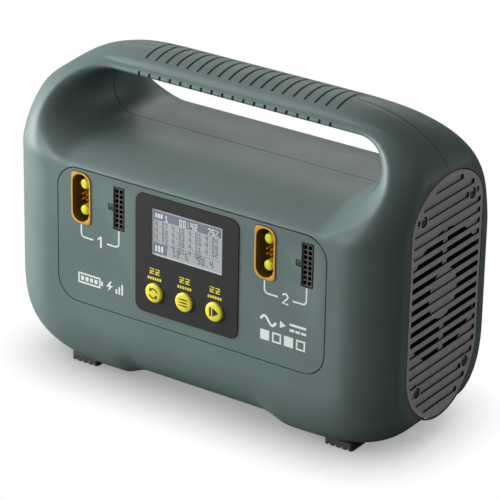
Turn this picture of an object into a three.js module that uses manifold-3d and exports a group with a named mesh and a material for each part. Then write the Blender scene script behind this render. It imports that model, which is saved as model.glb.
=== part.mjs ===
// Balance battery charger: two moulded half shells round a hand opening, a flush front panel with a
// display, three push buttons and two pairs of sockets, and a fan behind a slotted grille at each end.
// Millimetres. X runs along the handle, the front faces -Y, Z is up and z = 0 is the resting plane.

import * as THREE from 'three';
import { mergeVertices } from 'three/addons/utils/BufferGeometryUtils.js';
import Module from 'manifold-3d';

const wasm = await Module();
wasm.setup();

// ---------------------------------------------------------------- driving dimensions
const HALF_WIDTH = 138; // flat ends that carry the grilles
const BULGE_HALF_WIDTH = 147.5; // where the rounded outline would reach without the flat ends
const HALF_DEPTH = 65; // front face to parting plane
const TOP = 203.7; // crown of the handle
const UNDERSIDE = 4; // flat underside of the case above the resting plane
const BELLY = -0.5; // where the rounded outline would reach without the flat underside
const ARCH_RISE = 5.6; // the underside is raised between the feet
const ARCH_RAMP = [44, 62]; // where that step starts and ends, from the middle
const ARCH_REACH = 46; // height over which the step fades out
const TOP_CORNER = { width: 89.5, height: 75, power: 2.6 };
const BOTTOM_CORNER = { width: 80, height: 64.5, power: 2.7 };
const WALL = 3.2;
const PARTING_GAP = 0.3;

const HAND = { halfLength: 87.2, radius: 16.8, z: 171.8 }; // hand opening at the parting plane
const HANDLE_HALF_DEPTH = 19;
const HANDLE_EDGE = 15.5; // half depth of the handle's top face
const HANDLE_CROWN = 3.2; // drop of that face from its middle to its edges
// Over these heights each face leans in from its full depth to the handle.
const FRONT_LEAN = { full: HALF_DEPTH, from: 144, to: 195.5, power: 1.15 };
const REAR_LEAN = { full: 63.3, from: 127, to: 201, power: 1.44 };
const LEAN_SOFTNESS = 2;
const LEGS = { from: 132.5, to: 189.5 }; // heights over which the edges beside the opening tighten
const HANDLE = { from: 174.5, to: 202.5 }; // over these heights the legs turn into the handle
const MID_HEIGHT = 95;

const GRIP = { halfLength: 73.5, thickness: 1.8, grooves: 19, pitch: 7.64 };
const GRIP_GROOVE = { width: 1.9, depth: 1.1 };

const PANEL = { halfWidth: 97.4, low: 54.4, high: 142.6, corner: 15, thickness: 3, ledge: 1.5 };
const BEZEL = { left: -38.4, right: 36.4, low: 62.2, high: 139.1, corner: 6, proud: 0.5 };
const SCREEN = { left: -26.9, right: 24.7, low: 101, high: 131 };
const BUTTON = { radius: 6.2, z: 76.5, proud: 1.5, travel: 0.8 };
const BUTTON_X = { cycle: -24, list: -2, start: 20 };
const SOCKET_Z = 123.7;
const POWER_SOCKET = { width: 14.5, height: 33.1, depth: 20, cavity: 13 };
const BALANCE_SOCKET = { width: 8, height: 27.6, depth: 14, pitch: 3 };
const CHANNELS = { 1: { powerX: -79.4, balanceX: -51.1 }, 2: { powerX: 54.8, balanceX: 84.1 } };

const GRILLE = { halfDepth: 39.5, z: 95.5, halfHeight: 77.5, topRound: 29, bottomRound: 40, thickness: 3 };
const SLOT = { count: 21, pitch: 6.92, height: 3.4, depth: 1.8, margin: 3 };
const FAN = { z: 97, size: 92, thickness: 25, bore: 43.5, tip: 41.5, blades: 7 };
const GUARD = { radius: 41, hub: 15.5, strut: 2.4 }; // where the slots open in front of the fan
const SCREW = { y: 27, low: 42.7, high: 151.5, head: 3, bore: 1.7, ring: 4.7 };

const FOOT = { x: 94.8, width: 20, y: 35, depth: 16, seat: 1.2, grooves: 4, groovePitch: 4.4 };
const GAP = 0.3; // clearance between separate pieces
const SLIVER = 0.02; // facets narrower than this are merged away

// ---------------------------------------------------------------- solids and booleans
function solid(geometry) {
  const bare = geometry.clone();
  bare.deleteAttribute('normal');
  bare.deleteAttribute('uv');
  const merged = mergeVertices(bare, 1e-4);
  const triVerts = new Uint32Array(merged.index.array);
  const vertProperties = new Float32Array(merged.attributes.position.array);
  return new wasm.Manifold(new wasm.Mesh({ numProp: 3, vertProperties, triVerts }));
}

function geometryOf(body) {
  const mesh = body.asOriginal().simplify(SLIVER).getMesh();
  const geometry = new THREE.BufferGeometry();
  geometry.setAttribute('position', new THREE.BufferAttribute(new Float32Array(mesh.vertProperties), 3));
  geometry.setIndex(new THREE.BufferAttribute(new Uint32Array(mesh.triVerts), 1));
  geometry.computeVertexNormals();
  return geometry;
}

function join(first, ...others) {
  return others.reduce((whole, other) => whole.add(other), first);
}

function cut(first, ...others) {
  return others.reduce((whole, other) => whole.subtract(other), first);
}

function box(x, y, z) {
  const geometry = new THREE.BoxGeometry(x[1] - x[0], y[1] - y[0], z[1] - z[0]);
  geometry.translate((x[0] + x[1]) / 2, (y[0] + y[1]) / 2, (z[0] + z[1]) / 2);
  return solid(geometry);
}

// A cylinder or cone along an axis, from one place to another; across = the other two coordinates.
function rod(axis, radius, from, to, across, { segments = 20, endRadius = radius } = {}) {
  const geometry = new THREE.CylinderGeometry(endRadius, radius, to - from, segments);
  geometry.translate(0, (from + to) / 2, 0);
  if (axis === 'x') {
    geometry.rotateZ(-Math.PI / 2);
    geometry.translate(0, across[0], across[1]);
  } else if (axis === 'z') {
    geometry.rotateX(Math.PI / 2);
    geometry.translate(across[0], across[1], 0);
  } else {
    geometry.translate(across[0], 0, across[1]);
  }
  return solid(geometry);
}

// A flat outline in X and Z, given thickness in Y from the front (low y) to the back.
function plateXZ(shape, yFront, yBack, curveSegments = 3) {
  const options = { depth: yBack - yFront, bevelEnabled: false, curveSegments };
  const geometry = new THREE.ExtrudeGeometry(shape, options);
  geometry.rotateX(Math.PI / 2);
  geometry.translate(0, yBack, 0);
  return solid(geometry);
}

// A flat outline in Y and Z, given thickness in X.
function plateYZ(shape, xFrom, xTo, curveSegments = 5) {
  const options = { depth: xTo - xFrom, bevelEnabled: false, curveSegments };
  const geometry = new THREE.ExtrudeGeometry(shape, options);
  const turn = new THREE.Matrix4().makeBasis(
    new THREE.Vector3(0, 1, 0),
    new THREE.Vector3(0, 0, 1),
    new THREE.Vector3(1, 0, 0),
  );
  geometry.applyMatrix4(turn);
  geometry.translate(xFrom, 0, 0);
  return solid(geometry);
}

// Rectangle with its own radius at each corner: bottom left, bottom right, top right, top left.
function roundedRectangle(left, right, low, high, radii) {
  const [bl, br, tr, tl] = Array.isArray(radii) ? radii : [radii, radii, radii, radii];
  const shape = new THREE.Shape();
  shape.moveTo(left + bl, low);
  shape.lineTo(right - br, low);
  shape.absarc(right - br, low + br, br, -Math.PI / 2, 0);
  shape.lineTo(right, high - tr);
  shape.absarc(right - tr, high - tr, tr, 0, Math.PI / 2);
  shape.lineTo(left + tl, high);
  shape.absarc(left + tl, high - tl, tl, Math.PI / 2, Math.PI);
  shape.lineTo(left, low + bl);
  shape.absarc(left + bl, low + bl, bl, Math.PI, 1.5 * Math.PI);
  return shape;
}

// ---------------------------------------------------------------- the form of the case
// Facets: stations on each half of the outline, then steps over each part of a section.
const FINE = { ring: 26, flare: 4, face: 1, round: 4 };
const COARSE = { ring: 26, flare: 3, face: 1, round: 3 };

function smooth(from, to, value) {
  return THREE.MathUtils.smoothstep(value, from, to);
}

function blend(from, to, share) {
  return from + (to - from) * share;
}

// Right half of the outline at the parting plane, from the top middle to the bottom middle.
function outlinePoints() {
  const steps = 120;
  const corner = (size, share) => {
    const angle = (share * Math.PI) / 2;
    const along = size.width * Math.cos(angle) ** (2 / size.power);
    const up = size.height * Math.sin(angle) ** (2 / size.power);
    return [BULGE_HALF_WIDTH - size.width + along, up];
  };
  const points = [new THREE.Vector2(0, TOP)];
  for (let step = steps; step >= 0; step -= 1) {
    const [x, up] = corner(TOP_CORNER, step / steps);
    points.push(new THREE.Vector2(x, TOP - TOP_CORNER.height + up));
  }
  for (let step = 0; step <= steps; step += 1) {
    const [x, down] = corner(BOTTOM_CORNER, step / steps);
    points.push(new THREE.Vector2(x, BELLY + BOTTOM_CORNER.height - down));
  }
  points.push(new THREE.Vector2(0, BELLY));
  return points;
}

// Evenly spaced places on the right half of the outline, each with its outward normal.
function outlinePlaces(steps) {
  const half = new THREE.Path(outlinePoints()).getSpacedPoints(steps);
  return half.map((point, index) => {
    const before = half[Math.max(index - 1, 0)];
    const after = half[Math.min(index + 1, steps)];
    const along = after.clone().sub(before).normalize();
    return { point, normal: new THREE.Vector2(-along.y, along.x) };
  });
}

// Stations all round: the outline, the matching place on the hand opening and the way between them.
function caseStations(steps) {
  const right = outlinePlaces(steps).map(({ point, normal }) => {
    const middleX = THREE.MathUtils.clamp(point.x, -HAND.halfLength, HAND.halfLength);
    const middle = new THREE.Vector2(middleX, HAND.z);
    return { point, normal, middle, away: point.clone().sub(middle).normalize() };
  });
  const mirror = (vector) => new THREE.Vector2(-vector.x, vector.y);
  const left = right.slice(1, -1).reverse().map((station) => ({
    point: mirror(station.point),
    normal: mirror(station.normal),
    middle: mirror(station.middle),
    away: mirror(station.away),
  }));
  return [...right, ...left];
}

// Depth of a face at a height: full on the body, leaning in to the handle. side is -1 at the front.
function faceDepth(z, side) {
  const { full, from, to, power } = side < 0 ? FRONT_LEAN : REAR_LEAN;
  const above = LEAN_SOFTNESS * Math.log(1 + Math.exp((z - from) / LEAN_SOFTNESS));
  const share = Math.min(above / (to - from), 1);
  return HANDLE_HALF_DEPTH + (full - HANDLE_HALF_DEPTH) * (1 - share ** power) ** 0.85;
}

// Sizes of the rounded edge at a place on the outline.
function edgeSizes({ point, normal }) {
  const side = normal.x ** 2;
  const legs = smooth(LEGS.from, LEGS.to, point.y);
  const handle = smooth(HANDLE.from, HANDLE.to, point.y);
  const upper = point.y > MID_HEIGHT;
  const edge = upper ? blend(23.7, HANDLE_EDGE, handle) : blend(30.5, 23.7, side);
  const rounding = upper ? 43 - 26.5 * legs - 8.5 * handle : blend(44, 43, side);
  return { edge, rounding, crown: HANDLE_CROWN * smooth(HANDLE.from, TOP, point.y) };
}

const OUTLINE = outlinePlaces(300).map((place) => ({ ...place, ...edgeSizes(place) }));

// How far a place lies inside the outline, and the edge sizes at the nearest place on it.
function nearestEdge(place) {
  const mirrored = new THREE.Vector2(Math.abs(place.x), place.y);
  const nearest = OUTLINE.reduce((best, edge) => {
    const distance = edge.point.distanceToSquared(mirrored);
    return distance < best.distance ? { edge, distance } : best;
  }, { distance: Infinity }).edge;
  return { ...nearest, inside: nearest.point.clone().sub(mirrored).dot(nearest.normal) };
}

// Depth of the case at a place: the face, less what the flare and the rounded edge take away.
function heightAt(place, side, inset, fromOpening, flare) {
  const { inside, edge, rounding, crown } = nearestEdge(place);
  const depth = faceDepth(place.y, side) - inset;
  const quarter = (share) => Math.sqrt(1 - (1 - THREE.MathUtils.clamp(share, 0, 1)) ** 2);
  const flareDrop = depth * (1 - quarter(fromOpening / flare) ** (2 / 2.4));
  const width = Math.max(rounding - inset, 3) - crown;
  const rim = edge - inset * 0.7;
  const roundDrop = (depth - rim) * (1 - quarter((inside - inset - crown) / width) ** 1.2);
  return depth - Math.hypot(flareDrop, roundDrop);
}

// Distances from the hand opening's middle at which a section has its rows.
function rowDistances({ point, normal, middle, away }, inset, flare, detail) {
  const { rounding, crown } = edgeSizes({ point, normal });
  const start = HAND.radius + inset;
  const tilt = away.dot(normal);
  const end = point.distanceTo(middle) - (inset + crown) / tilt;
  let ridge = start + flare;
  let shoulder = end - (Math.max(rounding - inset, 3) - crown) / tilt;
  if (shoulder < ridge + 1) {
    const between = THREE.MathUtils.clamp((ridge + shoulder) / 2, start + 2, end - 2);
    ridge = between - 0.5;
    shoulder = between + 0.5;
  }
  const distances = [];
  for (let step = 0; step <= detail.flare; step += 1) {
    const angle = (step / detail.flare) * (Math.PI / 2);
    distances.push(start + (ridge - start) * (1 - Math.cos(angle)));
  }
  for (let step = 1; step <= detail.face; step += 1) {
    distances.push(blend(ridge, shoulder, step / (detail.face + 1)));
  }
  for (let step = detail.round; step >= 0; step -= 1) {
    const angle = (step / detail.round) * (Math.PI / 2);
    distances.push(end - (end - shoulder) * (1 - Math.cos(angle)));
  }
  return distances;
}

// One loop of the case in [x, depth, z], from the hand opening over the face to the outline.
function section(station, side, inset, detail) {
  const { point, normal, middle, away } = station;
  const { edge, crown } = edgeSizes(station);
  const under = Math.max(-away.y, 0);
  const over = Math.max(away.y, 0);
  const flare = Math.max(21 - 14.15 * over ** 1.5 - 9 * under * under * (3 - 2 * under) - inset, 3);
  const rows = rowDistances(station, inset, flare, detail).map((distance) => {
    const place = middle.clone().addScaledVector(away, distance);
    const depth = heightAt(place, side, inset, distance - HAND.radius - inset, flare);
    return [place.x, Math.max(depth, 0), place.y];
  });
  rows[rows.length - 1][1] = edge - inset * 0.7;
  for (const share of [0.5, 0]) {
    const place = point.clone().addScaledVector(normal, -inset - crown * share * share);
    rows.push([place.x, edge * share, place.y]);
  }
  return rows;
}

// Raises the underside between the feet, less and less towards the top of the step's reach.
function archLift(x, z) {
  const middle = 1 - smooth(ARCH_RAMP[0], ARCH_RAMP[1], Math.abs(x));
  return ARCH_RISE * middle * (1 - smooth(0, ARCH_REACH, z));
}

// The flat ends and the flat, arched underside that limit the rounded form.
function flatLimits(inset) {
  const end = HALF_WIDTH - inset;
  const low = UNDERSIDE + inset;
  const shape = new THREE.Shape();
  shape.moveTo(-end, low);
  shape.lineTo(-ARCH_RAMP[1], low);
  shape.lineTo(-ARCH_RAMP[0], low + ARCH_RISE);
  shape.lineTo(ARCH_RAMP[0], low + ARCH_RISE);
  shape.lineTo(ARCH_RAMP[1], low);
  shape.lineTo(end, low);
  shape.lineTo(end, TOP + 1);
  shape.lineTo(-end, TOP + 1);
  return plateXZ(shape, -HALF_DEPTH - 1, HALF_DEPTH + 1);
}

// One closed half of the case. side is -1 for the front and +1 for the rear; start is where the
// half begins, as a depth from the parting plane.
function caseHalf(side, inset, start, detail = FINE) {
  const loops = caseStations(detail.ring).map((station) => {
    const rows = section(station, side, inset, detail);
    rows[0][1] = 0;
    if (start < 0) {
      rows.unshift([rows[0][0], start, rows[0][2]]);
      const last = rows[rows.length - 1];
      rows.push([last[0], start, last[2]]);
    }
    return rows.map(([x, depth, z]) => [x, side * Math.max(depth, start), z + archLift(x, z)]);
  });
  const perLoop = loops[0].length;
  const index = [];
  loops.forEach((_, loop) => {
    const next = (loop + 1) % loops.length;
    for (let row = 0; row < perLoop; row += 1) {
      const a = loop * perLoop + row;
      const b = next * perLoop + row;
      const c = next * perLoop + ((row + 1) % perLoop);
      const d = loop * perLoop + ((row + 1) % perLoop);
      index.push(...(side > 0 ? [a, c, b, a, d, c] : [a, b, c, a, c, d]));
    }
  });
  const geometry = new THREE.BufferGeometry();
  const position = new Float32Array(loops.flat(2));
  geometry.setAttribute('position', new THREE.BufferAttribute(position, 3));
  geometry.setIndex(index);
  return solid(geometry).intersect(flatLimits(inset));
}

function wholeCase(inset, detail = FINE) {
  const overlap = -0.5;
  return caseHalf(-1, inset, overlap, detail).add(caseHalf(1, inset, overlap, detail));
}

// ---------------------------------------------------------------- handle grips
function gripZone(extra) {
  const length = GRIP.halfLength + extra;
  const depth = HANDLE_EDGE - 0.8 + extra;
  return {
    top: box([-length, length], [-depth, depth], [HAND.z + 25, TOP + 1]),
    bottom: box([-length, length], [-depth + 3, depth - 3], [HAND.z + 10, HAND.z + 22]),
  };
}

// Cross grooves whose floor follows a crowned or hollow face: heights at the middle, halfway and edge.
function grooves(floor, outside) {
  const shape = new THREE.Shape();
  const reach = 17;
  shape.moveTo(-reach, floor[2]);
  shape.lineTo(-reach / 2, floor[1]);
  shape.lineTo(0, floor[0]);
  shape.lineTo(reach / 2, floor[1]);
  shape.lineTo(reach, floor[2]);
  shape.lineTo(reach, outside);
  shape.lineTo(-reach, outside);
  const first = (-(GRIP.grooves - 1) / 2) * GRIP.pitch;
  const cutters = [];
  for (let count = 0; count < GRIP.grooves; count += 1) {
    const x = first + count * GRIP.pitch;
    cutters.push(plateYZ(shape, x - GRIP_GROOVE.width / 2, x + GRIP_GROOVE.width / 2));
  }
  return join(...cutters);
}

function handleGrips(outer) {
  const zone = gripZone(0);
  const skin = outer.subtract(wholeCase(GRIP.thickness, COARSE));
  const deep = GRIP_GROOVE.depth;
  const crown = [0, -0.9, -4].map((drop) => TOP - deep + drop);
  const hollow = [0, 0.5, 2.6].map((rise) => HAND.z + HAND.radius + deep + rise);
  return {
    top: skin.intersect(zone.top).subtract(grooves(crown, TOP + 5)),
    bottom: skin.intersect(zone.bottom).subtract(grooves(hollow, HAND.z)),
  };
}

// ---------------------------------------------------------------- front panel and sockets
const FRONT = -HALF_DEPTH;

function powerSocketShape(grow) {
  const { width, height } = POWER_SOCKET;
  const radii = [6 + grow, 3 + grow, 6 + grow, 3 + grow].map((radius) => Math.max(radius, 1));
  const half = width / 2 + grow;
  return roundedRectangle(-half, half, -height / 2 - grow, height / 2 + grow, radii);
}

function placedXZ(shape, x, z, yFront, yBack) {
  return plateXZ(shape, yFront, yBack).translate([x, 0, z]);
}

function balanceSocketBlank(grow, yFront, yBack) {
  const half = BALANCE_SOCKET.width / 2 + grow;
  const tall = BALANCE_SOCKET.height / 2 + grow;
  const body = box([-half, half], [yFront, yBack], [-tall, tall]);
  const latch = box([-half - 3.8, -half + 1], [yFront, yBack], [-2 - grow, 2 + grow]);
  return body.add(latch);
}

function frontPanelBlank(grow, yFront, yBack) {
  const { halfWidth, low, high, corner } = PANEL;
  const half = halfWidth + grow;
  return plateXZ(roundedRectangle(-half, half, low - grow, high + grow, corner + grow), yFront, yBack);
}

function bezelBlank(grow, yFront, yBack) {
  const { left, right, low, high, corner } = BEZEL;
  const shape = roundedRectangle(left - grow, right + grow, low - grow, high + grow, corner);
  return plateXZ(shape, yFront, yBack);
}

function frontPanel() {
  const through = [FRONT - 2, FRONT + PANEL.thickness + 2];
  let panel = frontPanelBlank(-GAP / 2, FRONT, FRONT + PANEL.thickness);
  panel = panel.subtract(bezelBlank(GAP / 2, ...through));
  for (const { powerX, balanceX } of Object.values(CHANNELS)) {
    panel = panel.subtract(placedXZ(powerSocketShape(GAP / 2), powerX, SOCKET_Z, ...through));
    const socket = balanceSocketBlank(GAP / 2, ...through).translate([balanceX, 0, SOCKET_Z]);
    panel = panel.subtract(socket);
  }
  return panel;
}

function displayBezel() {
  const front = FRONT - BEZEL.proud;
  const flangeFront = FRONT + PANEL.thickness + 0.1;
  const back = flangeFront + 1.4;
  const { left, right, low, high } = SCREEN;
  const pocket = 1.5;
  const screen = box([left, right], [front - 1, back + 1], [low, high]);
  const across = [left - pocket, right + pocket];
  const window = box(across, [front + 1.2, back + 1], [low - pocket, high + pocket]);
  let bezel = bezelBlank(-GAP / 2, front, back).add(bezelBlank(1, flangeFront, back));
  bezel = cut(bezel, screen, window);
  for (const x of Object.values(BUTTON_X)) {
    const hole = rod('y', BUTTON.radius + 0.25, front - 1, back + 1, [x, BUTTON.z], { segments: 18 });
    const counterbore = rod('y', BUTTON.radius + 1.6, front + 2, back + 1, [x, BUTTON.z], { segments: 18 });
    bezel = cut(bezel, hole, counterbore);
  }
  return bezel;
}

function lcdWindow() {
  const front = FRONT - BEZEL.proud + 0.3;
  const flange = FRONT - BEZEL.proud + 1.25;
  const { left, right, low, high } = SCREEN;
  const pane = box([left + 0.1, right - 0.1], [front, flange + 1], [low + 0.1, high - 0.1]);
  return pane.add(box([left - 1.3, right + 1.3], [flange, flange + 1], [low - 1.3, high + 1.3]));
}

function lcdModule() {
  const front = FRONT - BEZEL.proud + 2.4;
  const { left, right, low, high } = SCREEN;
  return box([left - 1.2, right + 1.2], [front, front + 4.4], [low - 1.2, high + 1.2]);
}

const BOARD_FRONT = FRONT + 7;

function controlBoard() {
  const { left, right, low, high } = BEZEL;
  return box([left - 1, right + 1], [BOARD_FRONT, BOARD_FRONT + 1.6], [low - 1, high - 2]);
}

function buttonCap(x) {
  const front = FRONT - BEZEL.proud - BUTTON.proud;
  const flange = FRONT - BEZEL.proud + 2.1;
  const round = { segments: 18 };
  const chamfer = { segments: 18, endRadius: BUTTON.radius };
  const crown = rod('y', BUTTON.radius - 0.5, front, front + 0.5, [x, BUTTON.z], chamfer);
  const skirt = rod('y', BUTTON.radius, front + 0.5, flange + 1, [x, BUTTON.z], round);
  const rim = rod('y', BUTTON.radius + 1.2, flange, flange + 1, [x, BUTTON.z], round);
  const stem = rod('y', 2, flange + 0.9, flange + 1.9, [x, BUTTON.z], { segments: 8 });
  return join(crown, skirt, rim, stem);
}

function tactSwitch(x) {
  const body = box([x - 3, x + 3], [BOARD_FRONT - 2, BOARD_FRONT], [BUTTON.z - 3, BUTTON.z + 3]);
  const plungerFront = FRONT - BEZEL.proud + 4 + BUTTON.travel + 0.1;
  const plunger = rod('y', 1.7, plungerFront, BOARD_FRONT - 1.9, [x, BUTTON.z], { segments: 8 });
  return body.add(plunger);
}

const CONTACT_OFFSET = 8.45; // of each power contact from the middle of its socket
const CONTACT_SETBACK = 2; // of its tip behind the front of the socket

function powerSocket(x) {
  const front = FRONT - 0.5;
  const back = front + POWER_SOCKET.depth;
  const shell = placedXZ(powerSocketShape(0), x, SOCKET_Z, front, back);
  const cavityBack = front + POWER_SOCKET.cavity;
  const cavity = placedXZ(powerSocketShape(-1.5), x, SOCKET_Z, front - 1, cavityBack);
  let socket = shell.subtract(cavity);
  for (const side of [-1, 1]) {
    const z = SOCKET_Z + side * CONTACT_OFFSET;
    socket = socket.subtract(rod('y', 3.45, cavityBack - 1, back + 1, [x + 1, z], { segments: 12 }));
  }
  const z = [SOCKET_Z - 3.2, SOCKET_Z + 3.2];
  return socket.subtract(box([x - 2.2, x + 3.6], [cavityBack - 1, back + 1], z));
}

function powerContact(x, z) {
  const front = FRONT - 0.5 + CONTACT_SETBACK;
  const round = { segments: 12 };
  const dome = rod('y', 2.4, front, front + 0.8, [x + 1, z], { ...round, endRadius: 3.25 });
  const body = rod('y', 3.25, front + 0.8, FRONT + POWER_SOCKET.depth + 3, [x + 1, z], round);
  return dome.add(body);
}

function signalPins(x) {
  const carrierFront = FRONT - 0.5 + POWER_SOCKET.cavity + 0.2;
  const carrierBack = FRONT + POWER_SOCKET.depth;
  const z = [SOCKET_Z - 3, SOCKET_Z + 3];
  let pins = box([x - 2, x + 3.4], [carrierFront, carrierBack], z);
  for (const [dx, dz] of [[-0.8, -1.7], [2.2, -1.7], [-0.8, 1.7], [2.2, 1.7]]) {
    const at = [x + dx, SOCKET_Z + dz];
    pins = pins.add(rod('y', 0.55, FRONT + 2.5, carrierFront + 1, at, { segments: 8 }));
  }
  return pins;
}

function balanceSocket(x) {
  const front = FRONT - 0.2;
  const back = front + BALANCE_SOCKET.depth;
  let socket = balanceSocketBlank(0, front, back);
  for (let row = 0; row < 8; row += 1) {
    const z = (row - 3.5) * BALANCE_SOCKET.pitch;
    for (const dx of [-1.5, 1.5]) {
      const hole = box([dx - 0.9, dx + 0.9], [front - 1, front + 9], [z - 0.9, z + 0.9]);
      socket = socket.subtract(hole);
    }
  }
  return socket.translate([x, 0, SOCKET_Z]);
}

// ---------------------------------------------------------------- grilles and fans
// Outline of a grille in Y and Z: straight sides with half-elliptical ends.
function grilleShape(grow) {
  const { halfDepth, z, halfHeight, topRound, bottomRound } = GRILLE;
  const shape = new THREE.Shape();
  const low = z - halfHeight + bottomRound;
  const high = z + halfHeight - topRound;
  shape.moveTo(halfDepth + grow, low);
  shape.lineTo(halfDepth + grow, high);
  shape.absellipse(0, high, halfDepth + grow, topRound + grow, 0, Math.PI, false, 0);
  shape.lineTo(-halfDepth - grow, low);
  shape.absellipse(0, low, halfDepth + grow, bottomRound + grow, Math.PI, 2 * Math.PI, false, 0);
  return shape;
}

function grilleScrewPlaces() {
  const places = [];
  for (const z of [SCREW.low, SCREW.high]) {
    for (const y of [-SCREW.y, SCREW.y]) {
      places.push([y, z]);
    }
  }
  return places;
}

// Slots open right through only in the ring over the fan, and stop short of the screws and struts.
function rightGrille() {
  const front = HALF_WIDTH;
  const back = front - GRILLE.thickness;
  const bands = [];
  for (let row = 0; row < SLOT.count; row += 1) {
    const z = FAN.z + (row - (SLOT.count - 1) / 2) * SLOT.pitch;
    bands.push(box([back - 1, front + 1], [-60, 60], [z - SLOT.height / 2, z + SLOT.height / 2]));
  }
  const plate = plateYZ(grilleShape(-GAP), back, front, 10);
  const field = plateYZ(grilleShape(-GAP - SLOT.margin), back - 1, front + 1, 4);
  let slots = join(...bands).intersect(field);
  for (const place of grilleScrewPlaces()) {
    slots = slots.subtract(rod('x', SCREW.ring, back - 2, front + 2, place, { segments: 8 }));
  }
  const round = { segments: 20 };
  const ring = rod('x', GUARD.radius, back - 2, front + 2, [0, FAN.z], round);
  const hub = rod('x', GUARD.hub, back - 2, front + 2, [0, FAN.z], { segments: 12 });
  const strut = box([back - 2, front + 2], [-GUARD.strut, GUARD.strut], [FAN.z - 50, FAN.z + 50]);
  const open = ring.subtract(hub).subtract(strut);
  const skinDeep = box([front - SLOT.depth, front + 2], [-60, 60], [0, TOP]);
  let grille = plate.subtract(slots.intersect(open)).subtract(slots.intersect(skinDeep));
  for (const place of grilleScrewPlaces()) {
    const shank = rod('x', SCREW.bore + 0.2, back - 1, front + 1, place, { segments: 8 });
    const counterbore = rod('x', SCREW.head + 0.2, front - 1.6, front + 1, place, { segments: 12 });
    grille = cut(grille, shank, counterbore);
  }
  return grille;
}

// Drive recess in a screw head, as a four-sided taper that is widest at the face.
function driveRecess(axis, depthFrom, depthTo, place) {
  return rod(axis, 0.5, depthFrom, depthTo, place, { segments: 4, endRadius: 2 });
}

function rightGrilleScrew(place) {
  const seat = HALF_WIDTH - 1.6;
  const head = rod('x', SCREW.head, seat + 0.05, HALF_WIDTH - 0.2, place, { segments: 12 });
  const shank = rod('x', SCREW.bore - 0.4, seat - 11, seat + 0.5, place, { segments: 6 });
  return head.add(shank).subtract(driveRecess('x', HALF_WIDTH - 1.1, HALF_WIDTH, place));
}

// Ledge behind a grille, with its screw bosses, as part of the shells.
function rightLedge() {
  const back = HALF_WIDTH - GRILLE.thickness - GAP;
  const outside = plateYZ(grilleShape(2.5), back - 3, back, 6);
  const inside = plateYZ(grilleShape(-7), back - 4, back + 1, 6);
  let ledge = outside.subtract(inside);
  for (const place of grilleScrewPlaces()) {
    const boss = rod('x', 4.2, back - 12, back, place, { segments: 10 });
    const [y, z] = place;
    const toEdge = y < 0 ? [y - 8, y] : [y, y + 8];
    const rib = box([back - 3, back], toEdge, [z - 3, z + 3]);
    const bore = rod('x', SCREW.bore, back - 10.5, back + 1, place, { segments: 8 });
    ledge = join(ledge, boss, rib).subtract(bore);
  }
  return ledge;
}

const FAN_FRONT = HALF_WIDTH - GRILLE.thickness - GAP - 3 - 0.2;
const FAN_BACK = FAN_FRONT - FAN.thickness;

function fanBlank(grow) {
  const half = FAN.size / 2 + grow;
  const shape = roundedRectangle(-half, half, FAN.z - half, FAN.z + half, 5);
  return plateYZ(shape, FAN_BACK - grow, FAN_FRONT + grow, 2);
}

function rightFanFrame() {
  const round = { segments: 28 };
  let frame = fanBlank(0);
  frame = frame.subtract(rod('x', FAN.bore, FAN_BACK - 1, FAN_FRONT + 1, [0, FAN.z], round));
  const cup = rod('x', 17, FAN_BACK, FAN_BACK + 4, [0, FAN.z], { segments: 20 });
  const armY = box([FAN_BACK, FAN_BACK + 3], [-44, 44], [FAN.z - 2.5, FAN.z + 2.5]);
  const armZ = box([FAN_BACK, FAN_BACK + 3], [-2.5, 2.5], [FAN.z - 44, FAN.z + 44]);
  frame = join(frame, cup, armY, armZ);
  for (const y of [-41.2, 41.2]) {
    for (const z of [FAN.z - 41.2, FAN.z + 41.2]) {
      frame = frame.subtract(rod('x', 2.2, FAN_BACK - 1, FAN_FRONT + 1, [y, z], { segments: 6 }));
    }
  }
  return frame.subtract(rod('x', 2, FAN_BACK - 1, FAN_BACK + 5, [0, FAN.z], { segments: 10 }));
}

// A blade as a warped box: its pitch falls from root to tip and its leading edge sweeps forward.
function fanBlade(turn) {
  const [root, tip, chord, thickness] = [15, FAN.tip, 21, 1.4];
  const geometry = new THREE.BoxGeometry(tip - root, chord, thickness, 2, 2, 1);
  const position = geometry.attributes.position;
  for (let index = 0; index < position.count; index += 1) {
    const radius = position.getX(index) + (tip + root) / 2;
    const share = (radius - root) / (tip - root);
    const pitch = THREE.MathUtils.degToRad(blend(56, 32, share));
    const along = position.getY(index) * blend(0.8, 1.1, share);
    const camber = 2 * (1 - (2 * along / chord) ** 2) * 0.6;
    const lift = position.getZ(index) + camber;
    const aside = along * Math.cos(pitch) - lift * Math.sin(pitch) + 5 * share * share;
    const deep = along * Math.sin(pitch) + lift * Math.cos(pitch);
    const around = turn + aside / radius;
    position.setXYZ(index, deep, radius * Math.cos(around), radius * Math.sin(around));
  }
  return solid(geometry);
}

function rightFanRotor() {
  const middle = (FAN_BACK + FAN_FRONT) / 2 + 2;
  const hub = rod('x', 17.5, FAN_BACK + 4.5, FAN_FRONT - 1, [0, 0], { segments: 21 });
  const shaft = rod('x', 1.6, FAN_BACK + 0.6, FAN_BACK + 6, [0, 0], { segments: 8 });
  const blades = [];
  for (let count = 0; count < FAN.blades; count += 1) {
    blades.push(fanBlade((count / FAN.blades) * 2 * Math.PI).translate([middle, 0, 0]));
  }
  return join(hub, shaft, ...blades);
}

// ---------------------------------------------------------------- shells
function panelSeat() {
  const front = FRONT + PANEL.thickness + 0.1;
  const outside = frontPanelBlank(4, front, front + 2.4);
  return outside.subtract(frontPanelBlank(-PANEL.ledge, front - 1, front + 4));
}

const CASE_SCREWS = { upperX: 98, upperZ: 136, lowerX: 80, lowerZ: 32 };
const CASE_SCREW_HEAD = 3.4;
const CASE_SCREW_SHANK = 1.5;

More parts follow.
